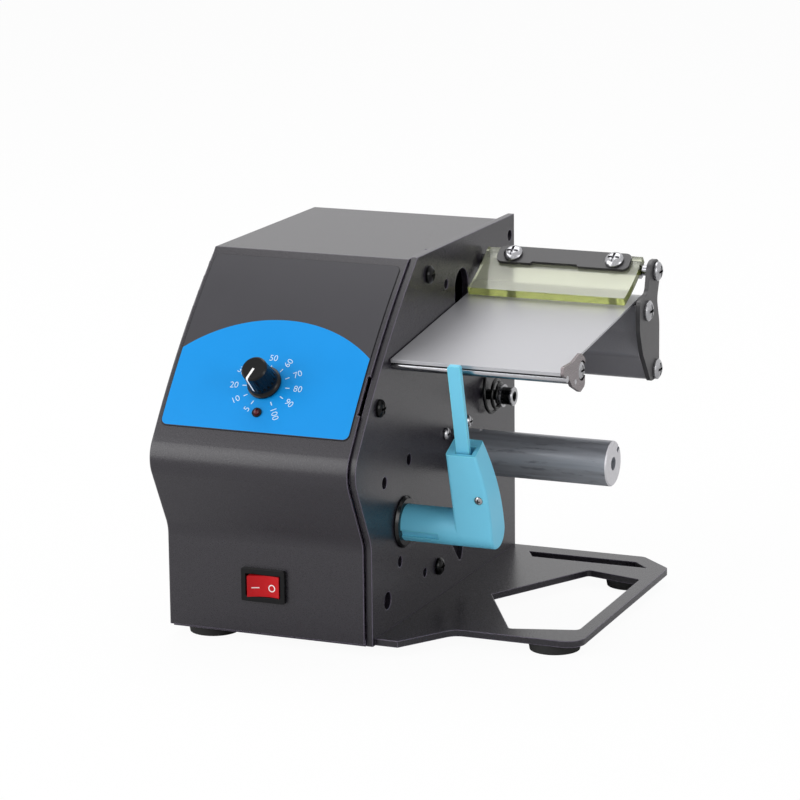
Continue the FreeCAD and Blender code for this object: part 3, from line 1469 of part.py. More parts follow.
def tension_washer():
    """The washer on the spring and the end ring on the stud's neck."""
    x = stud_spring_length + seat
    washer = rod(x, x + stud_washer_thick, stud_y, stud_z, stud_washer_radius)
    washer = washer.cut(rod(x - 1, x + 3, stud_y, stud_z, stud_radius + seat))
    end = stud_head() + stud_head_length
    ring = rod(end - stud_ring_length, end, stud_y, stud_z, stud_ring_radius)
    ring = ring.makeChamfer(0.3, [edge for edge in ring.Edges if edge.Closed and edge.BoundBox.XMin > end - 0.1])
    ring = ring.cut(rod(end - 3, end + 1, stud_y, stud_z, stud_ring_inner + seat / 2))
    return Part.makeCompound([washer, ring])


def tension_spring():
    """Conical coil, wide on the plate and narrow under the washer."""
    length = stud_spring_length - 2 * stud_spring_wire
    return coil(vec(stud_spring_wire, stud_y, stud_z), stud_spring_low_radius, stud_spring_high_radius, length,
                stud_spring_turns, stud_spring_wire, stud_spring_start, stud_spring_lead)


# Electronics on the base plate

def board_corners():
    left = cover_left + board_side
    return [(left + board_inset, board_front + board_inset),
            (left + board_width - board_inset, board_front + board_inset),
            (left + board_inset, board_front + board_depth - board_inset),
            (left + board_width - board_inset, board_front + board_depth - board_inset)]


def board_standoffs():
    posts = [Part.makeCylinder(standoff_radius, board_lift, vec(x, y, base_thick)) for x, y in board_corners()]
    return Part.makeCompound(posts)


def circuit_board():
    z = base_thick + board_lift
    left = cover_left + board_side
    return box(left, left + board_width, board_front, board_front + board_depth, z, z + board_thick)


def board_components():
    """Capacitors, a heat sink, the driver chip and the terminal strip, as shares of the board."""
    z = base_thick + board_lift + board_thick
    x = cover_left + board_side
    wide, deep = board_width, board_depth

    def block(left, right, front, back, height):
        return box(x + wide * left, x + wide * right, board_front + deep * front, board_front + deep * back,
                   z, z + height)

    parts = [Part.makeCylinder(capacitor_radius, capacitor_height, vec(x + wide * 0.27, board_front + deep * 0.23, z)),
             Part.makeCylinder(capacitor_radius * 0.8, capacitor_height * 0.8,
                               vec(x + wide * 0.5, board_front + deep * 0.2, z)),
             block(0.65, 0.65 + heat_sink_thick / wide, 0.34, 0.66, heat_sink_height),
             block(0.23, 0.46, 0.48, 0.6, driver_height), block(0.2, 0.77, 0.8, 0.91, terminal_height)]
    return Part.makeCompound(parts)


builders = [
    side_plate, base_plate, rubber_feet, foot_screws, base_angle,
    front_cover, rear_panel, rear_screws, dc_inlet, plate_screws,
    control_overlay, speed_knob, knob_pointer, pot_shaft, potentiometer, pot_nut, led_bezel, led_lens,
    power_switch_body, power_rocker,
    gear_motor, motor_screws, drive_shaft, take_up_shaft, take_up_grub,
    sensor_hub, hub_ring, hub_lever, hub_spring, microswitch, sensor_arm, arm_screw, feeler_blade,
    peel_table, end_clip, clip_screw,
    tie_rods, end_bracket, bracket_screws, backing_guide,
    flap_shaft, press_flap, clamp_strip, strip_screws, flap_end_screw, flap_retainer,
    tension_screw, tension_washer, tension_spring,
    board_standoffs, circuit_board, board_components,
]


def build_all():
    nodes = {builder.__name__: builder() for builder in builders}
    nodes["peel_rod"] = table_rod(peel_rod_place(), peel_rod_radius, clip_left() + clip_thick)
    nodes["guide_wire"] = table_rod(wire_place(), wire_radius, clip_left() + clip_thick)
    nodes["support_rod"] = table_rod(support_place(), support_radius, clip_left(), end_shank_radius)
    return nodes


def main():
    nodes = build_all()
    bounds = Part.makeCompound(list(nodes.values())).optimalBoundingBox(False, False)
    shift = vec(-(bounds.XMin + bounds.XMax) / 2, -(bounds.YMin + bounds.YMax) / 2, -bounds.ZMin)
    os.makedirs("parts", exist_ok=True)
    for name, shape in nodes.items():
        shape.translate(shift)
        shape.exportStep("parts/" + name + ".step")
        if not shape.isValid() or not shape.Solids:
            print("not a valid solid:", name)
    print("nodes", len(nodes), "size", round(bounds.XLength, 2), round(bounds.YLength, 2), round(bounds.ZLength, 2))
    print("shift", [round(value, 4) for value in shift])


main()
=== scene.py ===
"""Looks of the label peeling machine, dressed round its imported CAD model."""

import logging
import math
from dataclasses import dataclass, field
from enum import Enum
from typing import Callable, Iterable

import bmesh
import bpy
from mathutils import Matrix, Vector

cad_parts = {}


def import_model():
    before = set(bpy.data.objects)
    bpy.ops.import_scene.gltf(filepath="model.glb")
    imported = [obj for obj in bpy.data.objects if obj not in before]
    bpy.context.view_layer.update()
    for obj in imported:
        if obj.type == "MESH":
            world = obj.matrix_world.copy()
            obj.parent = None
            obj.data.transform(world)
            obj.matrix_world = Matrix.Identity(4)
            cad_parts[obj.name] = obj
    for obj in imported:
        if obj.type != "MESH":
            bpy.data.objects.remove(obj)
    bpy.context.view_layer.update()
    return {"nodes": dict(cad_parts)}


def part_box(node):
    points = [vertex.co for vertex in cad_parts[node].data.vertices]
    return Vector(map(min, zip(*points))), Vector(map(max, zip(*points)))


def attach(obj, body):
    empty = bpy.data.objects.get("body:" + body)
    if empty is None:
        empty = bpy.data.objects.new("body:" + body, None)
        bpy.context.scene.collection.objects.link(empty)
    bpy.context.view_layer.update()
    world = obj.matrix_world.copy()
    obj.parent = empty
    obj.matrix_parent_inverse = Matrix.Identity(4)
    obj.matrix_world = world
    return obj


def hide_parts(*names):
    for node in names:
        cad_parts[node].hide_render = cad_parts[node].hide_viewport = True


log = logging.getLogger("label_peeler")

Triple = tuple[float, float, float]
Linear = tuple[float, float, float, float]
Mesh = bpy.types.Mesh
Node = bpy.types.Node
Socket = bpy.types.NodeSocket
Tree = bpy.types.NodeTree

MM = 0.001
WHITE = (1.0, 1.0, 1.0, 1.0)
MERGE_DISTANCE = 1e-7
NOISE_LOW, NOISE_HIGH = 0.3, 0.7
FLECK_SHARE = 0.45
EDGE_FLAT, EDGE_TURNED = 0.985, 0.82
# Ambient occlusion values at which the painted shade in recesses is full and gone.
RECESS_SHADE_FULL, RECESS_SHADE_NONE = 0.45, 0.9
# The brightest that a painted edge highlight may be.
BRIGHTEST_EDGE_HIGHLIGHT = 0.95
ROUGHNESS_PLAY = 0.04
LEAST_ROUGHNESS = 0.02
EDGE_SAMPLES, RECESS_SAMPLES = 4, 6


# Helpers

def linear(colour: Triple, gain: float = 1.0, most: float = 1.0) -> Linear:
    """Turns a colour as seen on a screen into a linear one.

    Args:
        colour: Red, green and blue from 0 to 255.
        gain: What its linear parts are multiplied by.
        most: The most that each of them may be.

    Returns:
        The linear colour with full opacity.
    """
    parts = [c / 255 for c in colour]
    parts = [c / 12.92 if c <= 0.04045 else ((c + 0.055) / 1.055) ** 2.4 for c in parts]
    return tuple(min(c * gain, most) for c in parts) + (1.0,)


def feed(tree: Tree, socket: Socket, value: object) -> None:
    """Sets a socket to a value, or links it to the socket that feeds it.

    Args:
        tree: The tree that holds the socket.
        socket: The input socket.
        value: A value, or another socket.
    """
    if isinstance(value, bpy.types.NodeSocket):
        tree.links.new(value, socket)
    else:
        socket.default_value = value


def add_node(tree: Tree, kind: str, **inputs: object) -> Node:
    """Adds a node and sets its input sockets by name.

    Args:
        tree: The tree that gets the node.
        kind: The node's type.
        inputs: Socket names, with _ for a space, and their values or the sockets that feed them.

    Returns:
        The new node.
    """
    node = tree.nodes.new(kind)
    for name, value in inputs.items():
        feed(tree, node.inputs[name.replace("_", " ")], value)
    return node


def operate(tree: Tree, operation: str, *values: object, kind: str = "ShaderNodeMath",
            result: str = "Value") -> Socket:
    """Adds a Math or Vector Math node.

    Args:
        tree: The tree that gets the node.
        operation: What it does.
        values: Its inputs in order, as values or as the sockets that feed them.
        kind: The node's type.
        result: The name of the output that holds its result.

    Returns:
        The result's socket.
    """
    node = tree.nodes.new(kind)
    node.operation = operation
    for socket, value in zip(node.inputs, values):
        feed(tree, socket, value)
    return node.outputs[result]


def remap(tree: Tree, value: Socket, low: float, high: float, to_low: float = 0.0,
          to_high: float = 1.0) -> Socket:
    """Maps low to high onto to_low to to_high, and returns the result's socket."""
    return add_node(tree, "ShaderNodeMapRange", Value=value, From_Min=low, From_Max=high,
                    To_Min=to_low, To_Max=to_high).outputs["Result"]


def mix_colours(tree: Tree, factor: Socket, low: object, high: object) -> Socket:
    """Adds a Mix node for colours.

    Args:
        tree: The tree that gets the node.
        factor: The mask.
        low: The colour, or its socket, where the mask is 0.
        high: The same where it is 1.

    Returns:
        The result's socket.
    """
    node = tree.nodes.new("ShaderNodeMix")
    node.data_type = "RGBA"
    for name, value in (("Factor", factor), ("A", low), ("B", high)):
        feed(tree, node.inputs[name], value)
    return node.outputs["Result"]


def coordinates(tree: Tree, kind: str = "Object") -> Socket:
    """Returns a piece's own coordinates, or its own normals where kind is Normal."""
    return tree.nodes.new("ShaderNodeTexCoord").outputs[kind]


def linked(name: str, data: bpy.types.ID) -> bpy.types.Object:
    """Makes an object with that data and links it to the scene.

    Args:
        name: The object's name.
        data: Its mesh, curve, lamp or camera data.

    Returns:
        The object.
    """
    made = bpy.data.objects.new(name, data)
    bpy.context.scene.collection.objects.link(made)
    return made


def new_piece(name: str, mesh: Mesh, body: str,
              material: bpy.types.Material | None = None) -> bpy.types.Object:
    """Links a finished mesh as a piece that rides on a body.

    Args:
        name: The piece's name.
        mesh: Its mesh, in place in the row frame.
        body: The CAD body that it moves with.
        material: Its material, unless the mesh has its own.

    Returns:
        The piece.
    """
    mesh.name = name
    piece = linked(name, mesh)
    if material is not None:
        mesh.materials.clear()
        mesh.materials.append(material)
    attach(piece, body)
    log.info("piece %s on %s, %d faces", name, body, len(mesh.polygons))
    return piece


def mesh_from(vertices: Iterable[Vector], faces: Iterable[tuple[int, ...]]) -> Mesh:
    """Makes a mesh from its points and faces, and turns its faces outwards.

    Args:
        vertices: The points, in metres.
        faces: The points of each face.

    Returns:
        The mesh, with flat shading.
    """
    mesh = bpy.data.meshes.new("mesh")
    mesh.from_pydata([tuple(v) for v in vertices], [], [tuple(f) for f in faces])
    work = bmesh.new()
    work.from_mesh(mesh)
    bmesh.ops.remove_doubles(work, verts=work.verts, dist=MERGE_DISTANCE)
    bmesh.ops.recalc_face_normals(work, faces=work.faces)
    for face in work.faces:
        face.smooth = False
    work.to_mesh(mesh)
    work.free()
    return mesh


def plain_mesh(holder: bpy.types.Object) -> Mesh:
    """Turns what an object evaluates to into a plain mesh, and removes the object.

    Args:
        holder: The object, with its modifiers or its text.

    Returns:
        The mesh.
    """
    holder.update_tag()
    bpy.context.view_layer.update()
    seen = holder.evaluated_get(bpy.context.evaluated_depsgraph_get())
    mesh = bpy.data.meshes.new_from_object(seen)
    bpy.data.objects.remove(holder)
    return mesh


def start_bars(name: str, inputs: dict[str, str]) -> tuple[Tree, Node]:
    """Starts a Geometry Nodes tree that puts like bars on points.

    Args:
        name: The tree's name.
        inputs: The kinds of its inputs, by name, besides Count, Bar and Material.

    Returns:
        The tree and its input node.
    """
    tree = bpy.data.node_groups.new(name, "GeometryNodeTree")
    tree.interface.new_socket("Geometry", in_out="OUTPUT", socket_type="NodeSocketGeometry")
    kinds = {"Count": "Int", **inputs, "Bar": "Vector", "Material": "Material"}
    for socket, kind in kinds.items():
        tree.interface.new_socket(socket, in_out="INPUT", socket_type=f"NodeSocket{kind}")
    return tree, tree.nodes.new("NodeGroupInput")


def finish_bars(tree: Tree, given: Node, points: Socket, turned: Socket,
                values: dict[str, object]) -> Mesh:
    """Puts a bar on each point, makes them real, gives them their material and runs the tree.

    Args:
        tree: The tree that start_bars made.
        given: Its input node.
        points: Where the bars go.
        turned: How each of them is turned.
        values: The tree's inputs, by name.

    Returns:
        The bars as one plain mesh.
    """
    bar = add_node(tree, "GeometryNodeMeshCube", Size=given.outputs["Bar"])
    placed = add_node(tree, "GeometryNodeInstanceOnPoints", Points=points,
                      Instance=bar.outputs[0], Rotation=turned)
    real = add_node(tree, "GeometryNodeRealizeInstances", Geometry=placed.outputs[0])
    painted = add_node(tree, "GeometryNodeSetMaterial", Geometry=real.outputs[0],
                       Material=given.outputs["Material"])
    add_node(tree, "NodeGroupOutput", Geometry=painted.outputs[0])
    holder = linked(tree.name, bpy.data.meshes.new("seed"))
    modifier = holder.modifiers.new("nodes", "NODES")
    modifier.node_group = tree
    for item in tree.interface.items_tree:
        if item.in_out == "INPUT":
            modifier[item.identifier] = values[item.name]
    return plain_mesh(holder)


# Shader groups

class SharedGroups:
    """The shader node groups that more than one finish uses, each built once."""

    def __init__(self) -> None:
        """Builds the groups."""
        self.peel = self._peel()
        self.grain = self._grain()
        self.brushing = self._brushing()
        self.edges = self._edges()
        self.painted_recess_shade = self._painted_recess_shade()

    @staticmethod
    def _start(name: str, inputs: dict[str, float], outputs: dict[str, str]) -> tuple[Tree, Node]:
        """Starts a group.

        Args:
            name: The group's name.
            inputs: The values of its inputs, which are floats, by name.
            outputs: The kinds of its outputs, by name.

        Returns:
            The tree and its input node.
        """
        tree = bpy.data.node_groups.new(name, "ShaderNodeTree")
        for socket, value in inputs.items():
            made = tree.interface.new_socket(socket, in_out="INPUT",
                                             socket_type="NodeSocketFloat")
            made.default_value = value
        for socket, kind in outputs.items():
            tree.interface.new_socket(socket, in_out="OUTPUT", socket_type=f"NodeSocket{kind}")
        return tree, tree.nodes.new("NodeGroupInput")

    @staticmethod
    def _noise(tree: Tree, place: Socket, scale: object, detail: float,
               roughness: float = 0.5) -> Socket:
        """Adds a noise pattern that follows a place, and returns its value's socket."""
        return add_node(tree, "ShaderNodeTexNoise", Vector=place, Scale=scale, Detail=detail,
                        Roughness=roughness).outputs["Fac"]

    def _peel(self) -> Tree:
        """Orange peel of powder coat: its height and a faint mottling."""
        tree, given = self._start("powder_peel", {"Scale": 900.0, "Fleck": 3200.0},
                                  {"Height": "Float", "Mottle": "Float"})
        place = coordinates(tree)
        coarse = self._noise(tree, place, given.outputs["Scale"], 2.0)
        fine = self._noise(tree, place, given.outputs["Fleck"], 1.0)
        add_node(tree, "NodeGroupOutput",
                 Height=operate(tree, "MULTIPLY_ADD", fine, FLECK_SHARE, coarse),
                 Mottle=remap(tree, fine, NOISE_LOW, NOISE_HIGH))
        return tree

    def _grain(self) -> Tree:
        """Fine even grain of moulded plastic, rubber and printed film."""
        tree, given = self._start("fine_grain", {"Scale": 3000.0, "Cloud": 60.0},
                                  {"Height": "Float", "Cloud": "Float"})
        place = coordinates(tree)
        add_node(tree, "NodeGroupOutput",
                 Height=self._noise(tree, place, given.outputs["Scale"], 1.0),
                 Cloud=self._noise(tree, place, given.outputs["Cloud"], 3.0))
        return tree

    def _brushing(self) -> Tree:
        """Fine lines along one axis, as a lathe, a belt or the mill leaves them."""
        tree, given = self._start("brushed_lines", {f"Across {axis}": 1.0 for axis in "XYZ"},
                                  {"Lines": "Float"})
        stretch = add_node(tree, "ShaderNodeCombineXYZ",
                           **{axis: given.outputs[f"Across {axis}"] for axis in "XYZ"})
        placed = operate(tree, "MULTIPLY", coordinates(tree), stretch.outputs[0],
                         kind="ShaderNodeVectorMath", result="Vector")
        add_node(tree, "NodeGroupOutput", Lines=self._noise(tree, placed, 1.0, 3.0, 0.65))
        return tree

    def _edges(self) -> Tree:
        """Softened normals on sharp edges, and a mask of those edges."""
        tree, given = self._start("soft_edges", {"Radius": 0.0003},
                                  {"Normal": "Vector", "Edge": "Float"})
        bevel = add_node(tree, "ShaderNodeBevel", Radius=given.outputs["Radius"])
        bevel.samples = EDGE_SAMPLES
        flat = tree.nodes.new("ShaderNodeNewGeometry").outputs["Normal"]
        turn = operate(tree, "DOT_PRODUCT", bevel.outputs["Normal"], flat,
                       kind="ShaderNodeVectorMath")
        add_node(tree, "NodeGroupOutput", Normal=bevel.outputs["Normal"],
                 Edge=remap(tree, turn, EDGE_FLAT, EDGE_TURNED))
        return tree

    def _painted_recess_shade(self) -> Tree:
        """A mask of painted shade: 1 on open faces, falling towards 0 in recesses and where parts
        stand near.
        """
        tree, given = self._start("painted_recess_shade", {"Distance": 0.001}, {"Open": "Float"})
        near = add_node(tree, "ShaderNodeAmbientOcclusion", Distance=given.outputs["Distance"])
        near.samples = RECESS_SAMPLES
        add_node(tree, "NodeGroupOutput",
                 Open=remap(tree, near.outputs["AO"], RECESS_SHADE_FULL, RECESS_SHADE_NONE))
        return tree


# Finishes

@dataclass(frozen=True)
class Finish:
    """A surface finish, with colours as they are seen and lengths in mm."""

    name: str
    colour: Triple
    roughness: float
    metallic: float = 0.0
    specular: float = 0.5
    coat: float = 0.0
    coat_roughness: float = 0.1
    soften: float = 0.25
    bump: float = 0.0
    # Painted shade in recesses: how far it reaches, in mm, and how dark it makes the colour.
    recess_shade_reach: float = 0.0
    recess_shade_dark: float = 0.06

    def make(self, groups: SharedGroups) -> bpy.types.Material:
        """Builds the material.

        Args:
            groups: The shared shader groups.

        Returns:
            The material.
        """
        material = bpy.data.materials.new(self.name)
        material.use_nodes = True
        tree = material.node_tree
        shader = tree.nodes["Principled BSDF"]
        shader.inputs["Base Color"].default_value = linear(self.colour)
        shader.inputs["Roughness"].default_value = self.roughness
        shader.inputs["Metallic"].default_value = self.metallic
        shader.inputs["Specular IOR Level"].default_value = self.specular
        if self.coat:
            shader.inputs["Coat Weight"].default_value = self.coat
            shader.inputs["Coat Roughness"].default_value = self.coat_roughness
        self.texture(tree, shader, groups)
        # Painted shade: Base Color darkens in recesses and between parts, by ambient occlusion.
        if self.recess_shade_reach:
            recess_shade = self.use(tree, groups.painted_recess_shade, Distance=self.recess_shade_reach * MM)
            base = shader.inputs["Base Color"].links[0].from_socket
            dark = linear(self.colour, self.recess_shade_dark)
            tree.links.new(mix_colours(tree, recess_shade.outputs["Open"], dark, base),
                           shader.inputs["Base Color"])
        return material

    def texture(self, tree: Tree, shader: Node, groups: SharedGroups) -> None:
        """Adds the finish's own pattern to the shader.

        Args:
            tree: The material's tree.
            shader: Its Principled shader.
            groups: The shared shader groups.
        """
        raise NotImplementedError

    def use(self, tree: Tree, group: Tree, **inputs: float) -> Node:
        """Places a shared group with its own values.

        Args:
            tree: The material's tree.
            group: The shared group.
            inputs: The values of its inputs, by name, with _ for a space.

        Returns:
            The group's node.
        """
        node = tree.nodes.new("ShaderNodeGroup")
        node.node_tree = group
        for name, value in inputs.items():
            node.inputs[name.replace("_", " ")].default_value = value
        return node

    def shade(self, tree: Tree, shader: Node, mask: Socket, spread: float) -> None:
        """Feeds Base Color with the finish's colour, darker or lighter by a mask.

        Args:
            tree: The material's tree.
            shader: Its Principled shader.
            mask: A value from 0, darker, to 1, lighter.
            spread: How much darker and lighter, as a share.
        """
        tree.links.new(mix_colours(tree, mask, linear(self.colour, 1 - spread),
                                   linear(self.colour, 1 + spread)), shader.inputs["Base Color"])

    def cover(self, tree: Tree, shader: Node, mask: Socket, colour: Linear) -> None:
        """Lays a colour over what feeds Base Color so far, where a mask is 1."""
        base = shader.inputs["Base Color"].links[0].from_socket
        tree.links.new(mix_colours(tree, mask, base, colour), shader.inputs["Base Color"])

    def paint_edge_highlight(self, tree: Tree, shader: Node, edges: Node, gain: float) -> None:
        """Paints highlights on the part's edges: lightens Base Color there by so many times the
        finish's colour.
        """
        self.cover(tree, shader, edges.outputs["Edge"],
                   linear(self.colour, gain, BRIGHTEST_EDGE_HIGHLIGHT))

    def vary(self, tree: Tree, shader: Node, mask: Socket, spread: float) -> None:
        """Feeds Roughness with the finish's own, varied by a mask to either side."""
        tree.links.new(remap(tree, mask, NOISE_LOW, NOISE_HIGH,
                             max(self.roughness - spread, LEAST_ROUGHNESS),
                             min(self.roughness + spread, 1.0)), shader.inputs["Roughness"])

    def relief(self, tree: Tree, shader: Node, groups: SharedGroups, height: Socket) -> Node:
        """Feeds Normal with softened edges and a bump.

        Args:
            tree: The material's tree.
            shader: Its Principled shader.
            groups: The shared shader groups.
            height: The bump's height, from 0 to 1.

        Returns:
            The soft_edges group's node.
        """
        edges = self.use(tree, groups.edges, Radius=self.soften * MM)
        bump = add_node(tree, "ShaderNodeBump", Height=height, Strength=1.0,
                        Distance=self.bump * MM, Normal=edges.outputs["Normal"])
        tree.links.new(bump.outputs["Normal"], shader.inputs["Normal"])
        if self.coat:
            tree.links.new(edges.outputs["Normal"], shader.inputs["Coat Normal"])
        return edges


@dataclass(frozen=True)
class PowderCoat(Finish):
    """Baked powder paint with a fine orange peel, and painted highlights on its edges."""

    peel: float = 900.0
    fleck: float = 3200.0
    mottle: float = 0.12
    # How many times the finish's colour its painted edge highlights are.
    edge_highlight: float = 1.35

    def texture(self, tree: Tree, shader: Node, groups: SharedGroups) -> None:
        """Mottles the paint, gives it peel and paints highlights on its edges."""
        peel = self.use(tree, groups.peel, Scale=self.peel, Fleck=self.fleck)
        edges = self.relief(tree, shader, groups, peel.outputs["Height"])
        self.shade(tree, shader, peel.outputs["Mottle"], self.mottle)
        self.paint_edge_highlight(tree, shader, edges, self.edge_highlight)
        self.vary(tree, shader, peel.outputs["Mottle"], ROUGHNESS_PLAY)


@dataclass(frozen=True)
class Moulded(Finish):
    """Moulded plastic, rubber or a plain plated part with an even fine grain."""

    grain: float = 2500.0
    cloud: float = 60.0
    tint: float = 0.05
    # How many times the finish's colour its painted edge highlights are, or none.
    edge_highlight: float = 0.0

    def texture(self, tree: Tree, shader: Node, groups: SharedGroups) -> None:
        """Clouds the colour a little, gives the surface its grain and, where asked, paints
        highlights on its edges.
        """
        grain = self.use(tree, groups.grain, Scale=self.grain, Cloud=self.cloud)
        edges = self.relief(tree, shader, groups, grain.outputs["Height"])
        self.shade(tree, shader, grain.outputs["Cloud"], self.tint)
        # Painted highlights on the edges, where the finish asks for them.
        if self.edge_highlight:
            self.paint_edge_highlight(tree, shader, edges, self.edge_highlight)
        self.vary(tree, shader, grain.outputs["Cloud"], ROUGHNESS_PLAY)


@dataclass(frozen=True)
class Brushed(Finish):
    """Bare or plated metal with lines along one axis: a low number is the axis they run along."""

    across: Triple = (40.0, 2500.0, 2500.0)
    streak: float = 0.18
    spread: float = 0.08

    def lines(self, tree: Tree, groups: SharedGroups, across: Triple) -> Socket:
        """Places the brushed lines, so fine along each axis, and returns their value."""
        inputs = {f"Across_{axis}": scale for axis, scale in zip("XYZ", across)}
        return self.use(tree, groups.brushing, **inputs).outputs["Lines"]

    def texture(self, tree: Tree, shader: Node, groups: SharedGroups) -> None:
        """Streaks the metal's colour, roughness and relief along its lines."""
        lines = self.lines(tree, groups, self.across)
        self.relief(tree, shader, groups, lines)
        self.shade(tree, shader, lines, self.streak)
        self.vary(tree, shader, lines, self.spread)


@dataclass(frozen=True)
class Turned(Brushed):
    """A brushed bar with dark draw marks, whose free end, towards +X, is polished bright."""

    polished: Triple = (206, 205, 209)
    facing: float = 0.45
    marks: Triple = (60.0, 320.0, 320.0)
    mark_start: float = 0.56
    mark_full: float = 0.68
    mark_dark: float = 0.2
    stain: float = 0.45

    def texture(self, tree: Tree, shader: Node, groups: SharedGroups) -> None:
        """Brushes the bar, marks it and polishes the faces that look along it."""
        super().texture(tree, shader, groups)
        marks = remap(tree, self.lines(tree, groups, self.marks), self.mark_start,
                      self.mark_full, to_high=self.stain)
        self.cover(tree, shader, marks, linear(self.colour, self.mark_dark))
        along = add_node(tree, "ShaderNodeSeparateXYZ", Vector=coordinates(tree, "Normal"))
        end = operate(tree, "GREATER_THAN", along.outputs["X"], self.facing)
        self.cover(tree, shader, end, linear(self.polished))


@dataclass(frozen=True)
class Clear(Finish):
    """See-through plastic with a faint cloudiness and stronger colour on its cut edges."""

    transmission: float = 0.76
    edge_colour: Triple = (178, 187, 104)
    tip: Triple = (0.0, -0.8, -0.6)
    facing: float = 0.75
    ior: float = 1.45
    grain: float = 400.0
    cloud: float = 40.0

    def texture(self, tree: Tree, shader: Node, groups: SharedGroups) -> None:
        """Lets light through and gives the surface a faint ripple."""
        shader.inputs["IOR"].default_value = self.ior
        shader.inputs["Transmission Weight"].default_value = self.transmission
        tree.links.new(mix_colours(tree, self.cut_faces(tree), linear(self.colour),
                                   linear(self.edge_colour)), shader.inputs["Base Color"])
        grain = self.use(tree, groups.grain, Scale=self.grain, Cloud=self.cloud)
        bump = add_node(tree, "ShaderNodeBump", Height=grain.outputs["Height"], Strength=1.0,
                        Distance=self.bump * MM)
        tree.links.new(bump.outputs["Normal"], shader.inputs["Normal"])
        self.vary(tree, shader, grain.outputs["Cloud"], ROUGHNESS_PLAY)

    def cut_faces(self, tree: Tree) -> Socket:
        """Makes a mask of the sheet's two side faces and its tip, by where they face.

        Args:
            tree: The material's tree.

        Returns:
            The mask's socket.
        """
        normal = coordinates(tree, "Normal")
        axes = add_node(tree, "ShaderNodeSeparateXYZ", Vector=normal)
        side = operate(tree, "ABSOLUTE", axes.outputs["X"])
        tip = operate(tree, "DOT_PRODUCT", normal, self.tip, kind="ShaderNodeVectorMath")
        return operate(tree, "GREATER_THAN", operate(tree, "MAXIMUM", side, tip), self.facing)


class Surface(Enum):
    """The record's material slots, each with the finish that the photograph shows."""

    POWDER_COAT = PowderCoat("powder_coat", (33, 30, 37), 0.3, bump=0.02, specular=0.52,
                             soften=0.7, edge_highlight=15.0)
    DARK_STEEL = PowderCoat("dark_steel", (52, 51, 53), 0.36, bump=0.012, mottle=0.06)
    DARK_SHEET = PowderCoat("dark_sheet", (116, 115, 120), 0.32, bump=0.015, mottle=0.08)
    BRIGHT_SHEET = Brushed("bright_sheet", (182, 182, 186), 0.34, metallic=0.6, bump=0.002,
                           across=(140.0, 2600.0, 2600.0), streak=0.015, spread=0.03)
    ROD_STEEL = Brushed("rod_steel", (176, 176, 180), 0.16, metallic=1.0, bump=0.004,
                        soften=0.15, recess_shade_reach=4.0)
    CLIP_STEEL = Brushed("clip_steel", (124, 116, 118), 0.26, metallic=0.7, bump=0.004,
                         across=(2500.0, 60.0, 2500.0), streak=0.06, recess_shade_reach=1.6)
    SILVER_SCREW = Brushed("silver_screw", (168, 168, 171), 0.24, metallic=1.0, bump=0.003,
                           soften=0.12, across=(900.0, 900.0, 900.0), streak=0.06, recess_shade_reach=0.9)
    BLACK_SCREW = Moulded("black_screw", (7, 7, 8), 0.16, specular=0.16, bump=0.002,
                          soften=0.15, recess_shade_reach=0.6)
    SPRING_STEEL = Moulded("spring_steel", (10, 10, 11), 0.22, specular=0.3, bump=0.003,
                           soften=0.1)
    BLACK_ANODISED = Turned("black_anodised", (164, 167, 174), 0.44, metallic=0.55, bump=0.01,
                            across=(22.0, 620.0, 620.0), streak=0.34, spread=0.14)
    HUB_BLACK = Moulded("hub_black", (14, 14, 15), 0.22, specular=0.35, bump=0.004)
    ARM_BLUE = Moulded("arm_blue", (109, 199, 230), 0.42, bump=0.01, grain=1800.0, tint=0.03,
                       soften=0.5, edge_highlight=1.6)
    CLEAR_URETHANE = Clear("clear_urethane", (206, 209, 187), 0.12, bump=0.01)
    PANEL_FILM = Moulded("panel_film", (50, 49, 54), 0.42, specular=0.35, bump=0.006,
                         grain=3500.0, soften=0.05)
    BLACK_PLASTIC = Moulded("black_plastic", (9, 9, 11), 0.22, specular=0.22, bump=0.002)
    WHITE_PAINT = Moulded("white_paint", (240, 240, 240), 0.4, bump=0.002, soften=0.05)
    RED_PLASTIC = Moulded("red_plastic", (184, 10, 20), 0.24, specular=0.2, coat=0.04,
                          bump=0.003)
    LAMP_LENS = Moulded("lamp_lens", (84, 4, 14), 0.16, specular=0.35, coat=0.08, bump=0.001,
                        soften=0.05)
    FOOT_RUBBER = Moulded("foot_rubber", (24, 24, 24), 0.7, bump=0.01, grain=1500.0)
    MOTOR_STEEL = Brushed("motor_steel", (170, 170, 172), 0.32, metallic=1.0, bump=0.004,
                          across=(60.0, 1500.0, 1500.0))
    BOARD_GREEN = Moulded("board_green", (30, 92, 58), 0.4, bump=0.003)
    BOARD_PARTS = Moulded("board_parts", (44, 44, 48), 0.4, bump=0.003)
    NYLON = Moulded("nylon", (216, 213, 203), 0.5, bump=0.004)


PRINT_BLUE = Moulded("print_blue", (3, 141, 219), 0.46, specular=0.2, bump=0.006, grain=3500.0,
                     soften=0.05, tint=0.03)
PRINT_WHITE = Moulded("print_white", (206, 226, 243), 0.5, specular=0.2, bump=0.002, soften=0.05)
# Painted shadow: the dark band round the film's edge.
FILM_EDGE_SHADOW = Moulded("film_edge_shadow", (16, 16, 19), 0.4, specular=0.2, bump=0.002, soften=0.05)

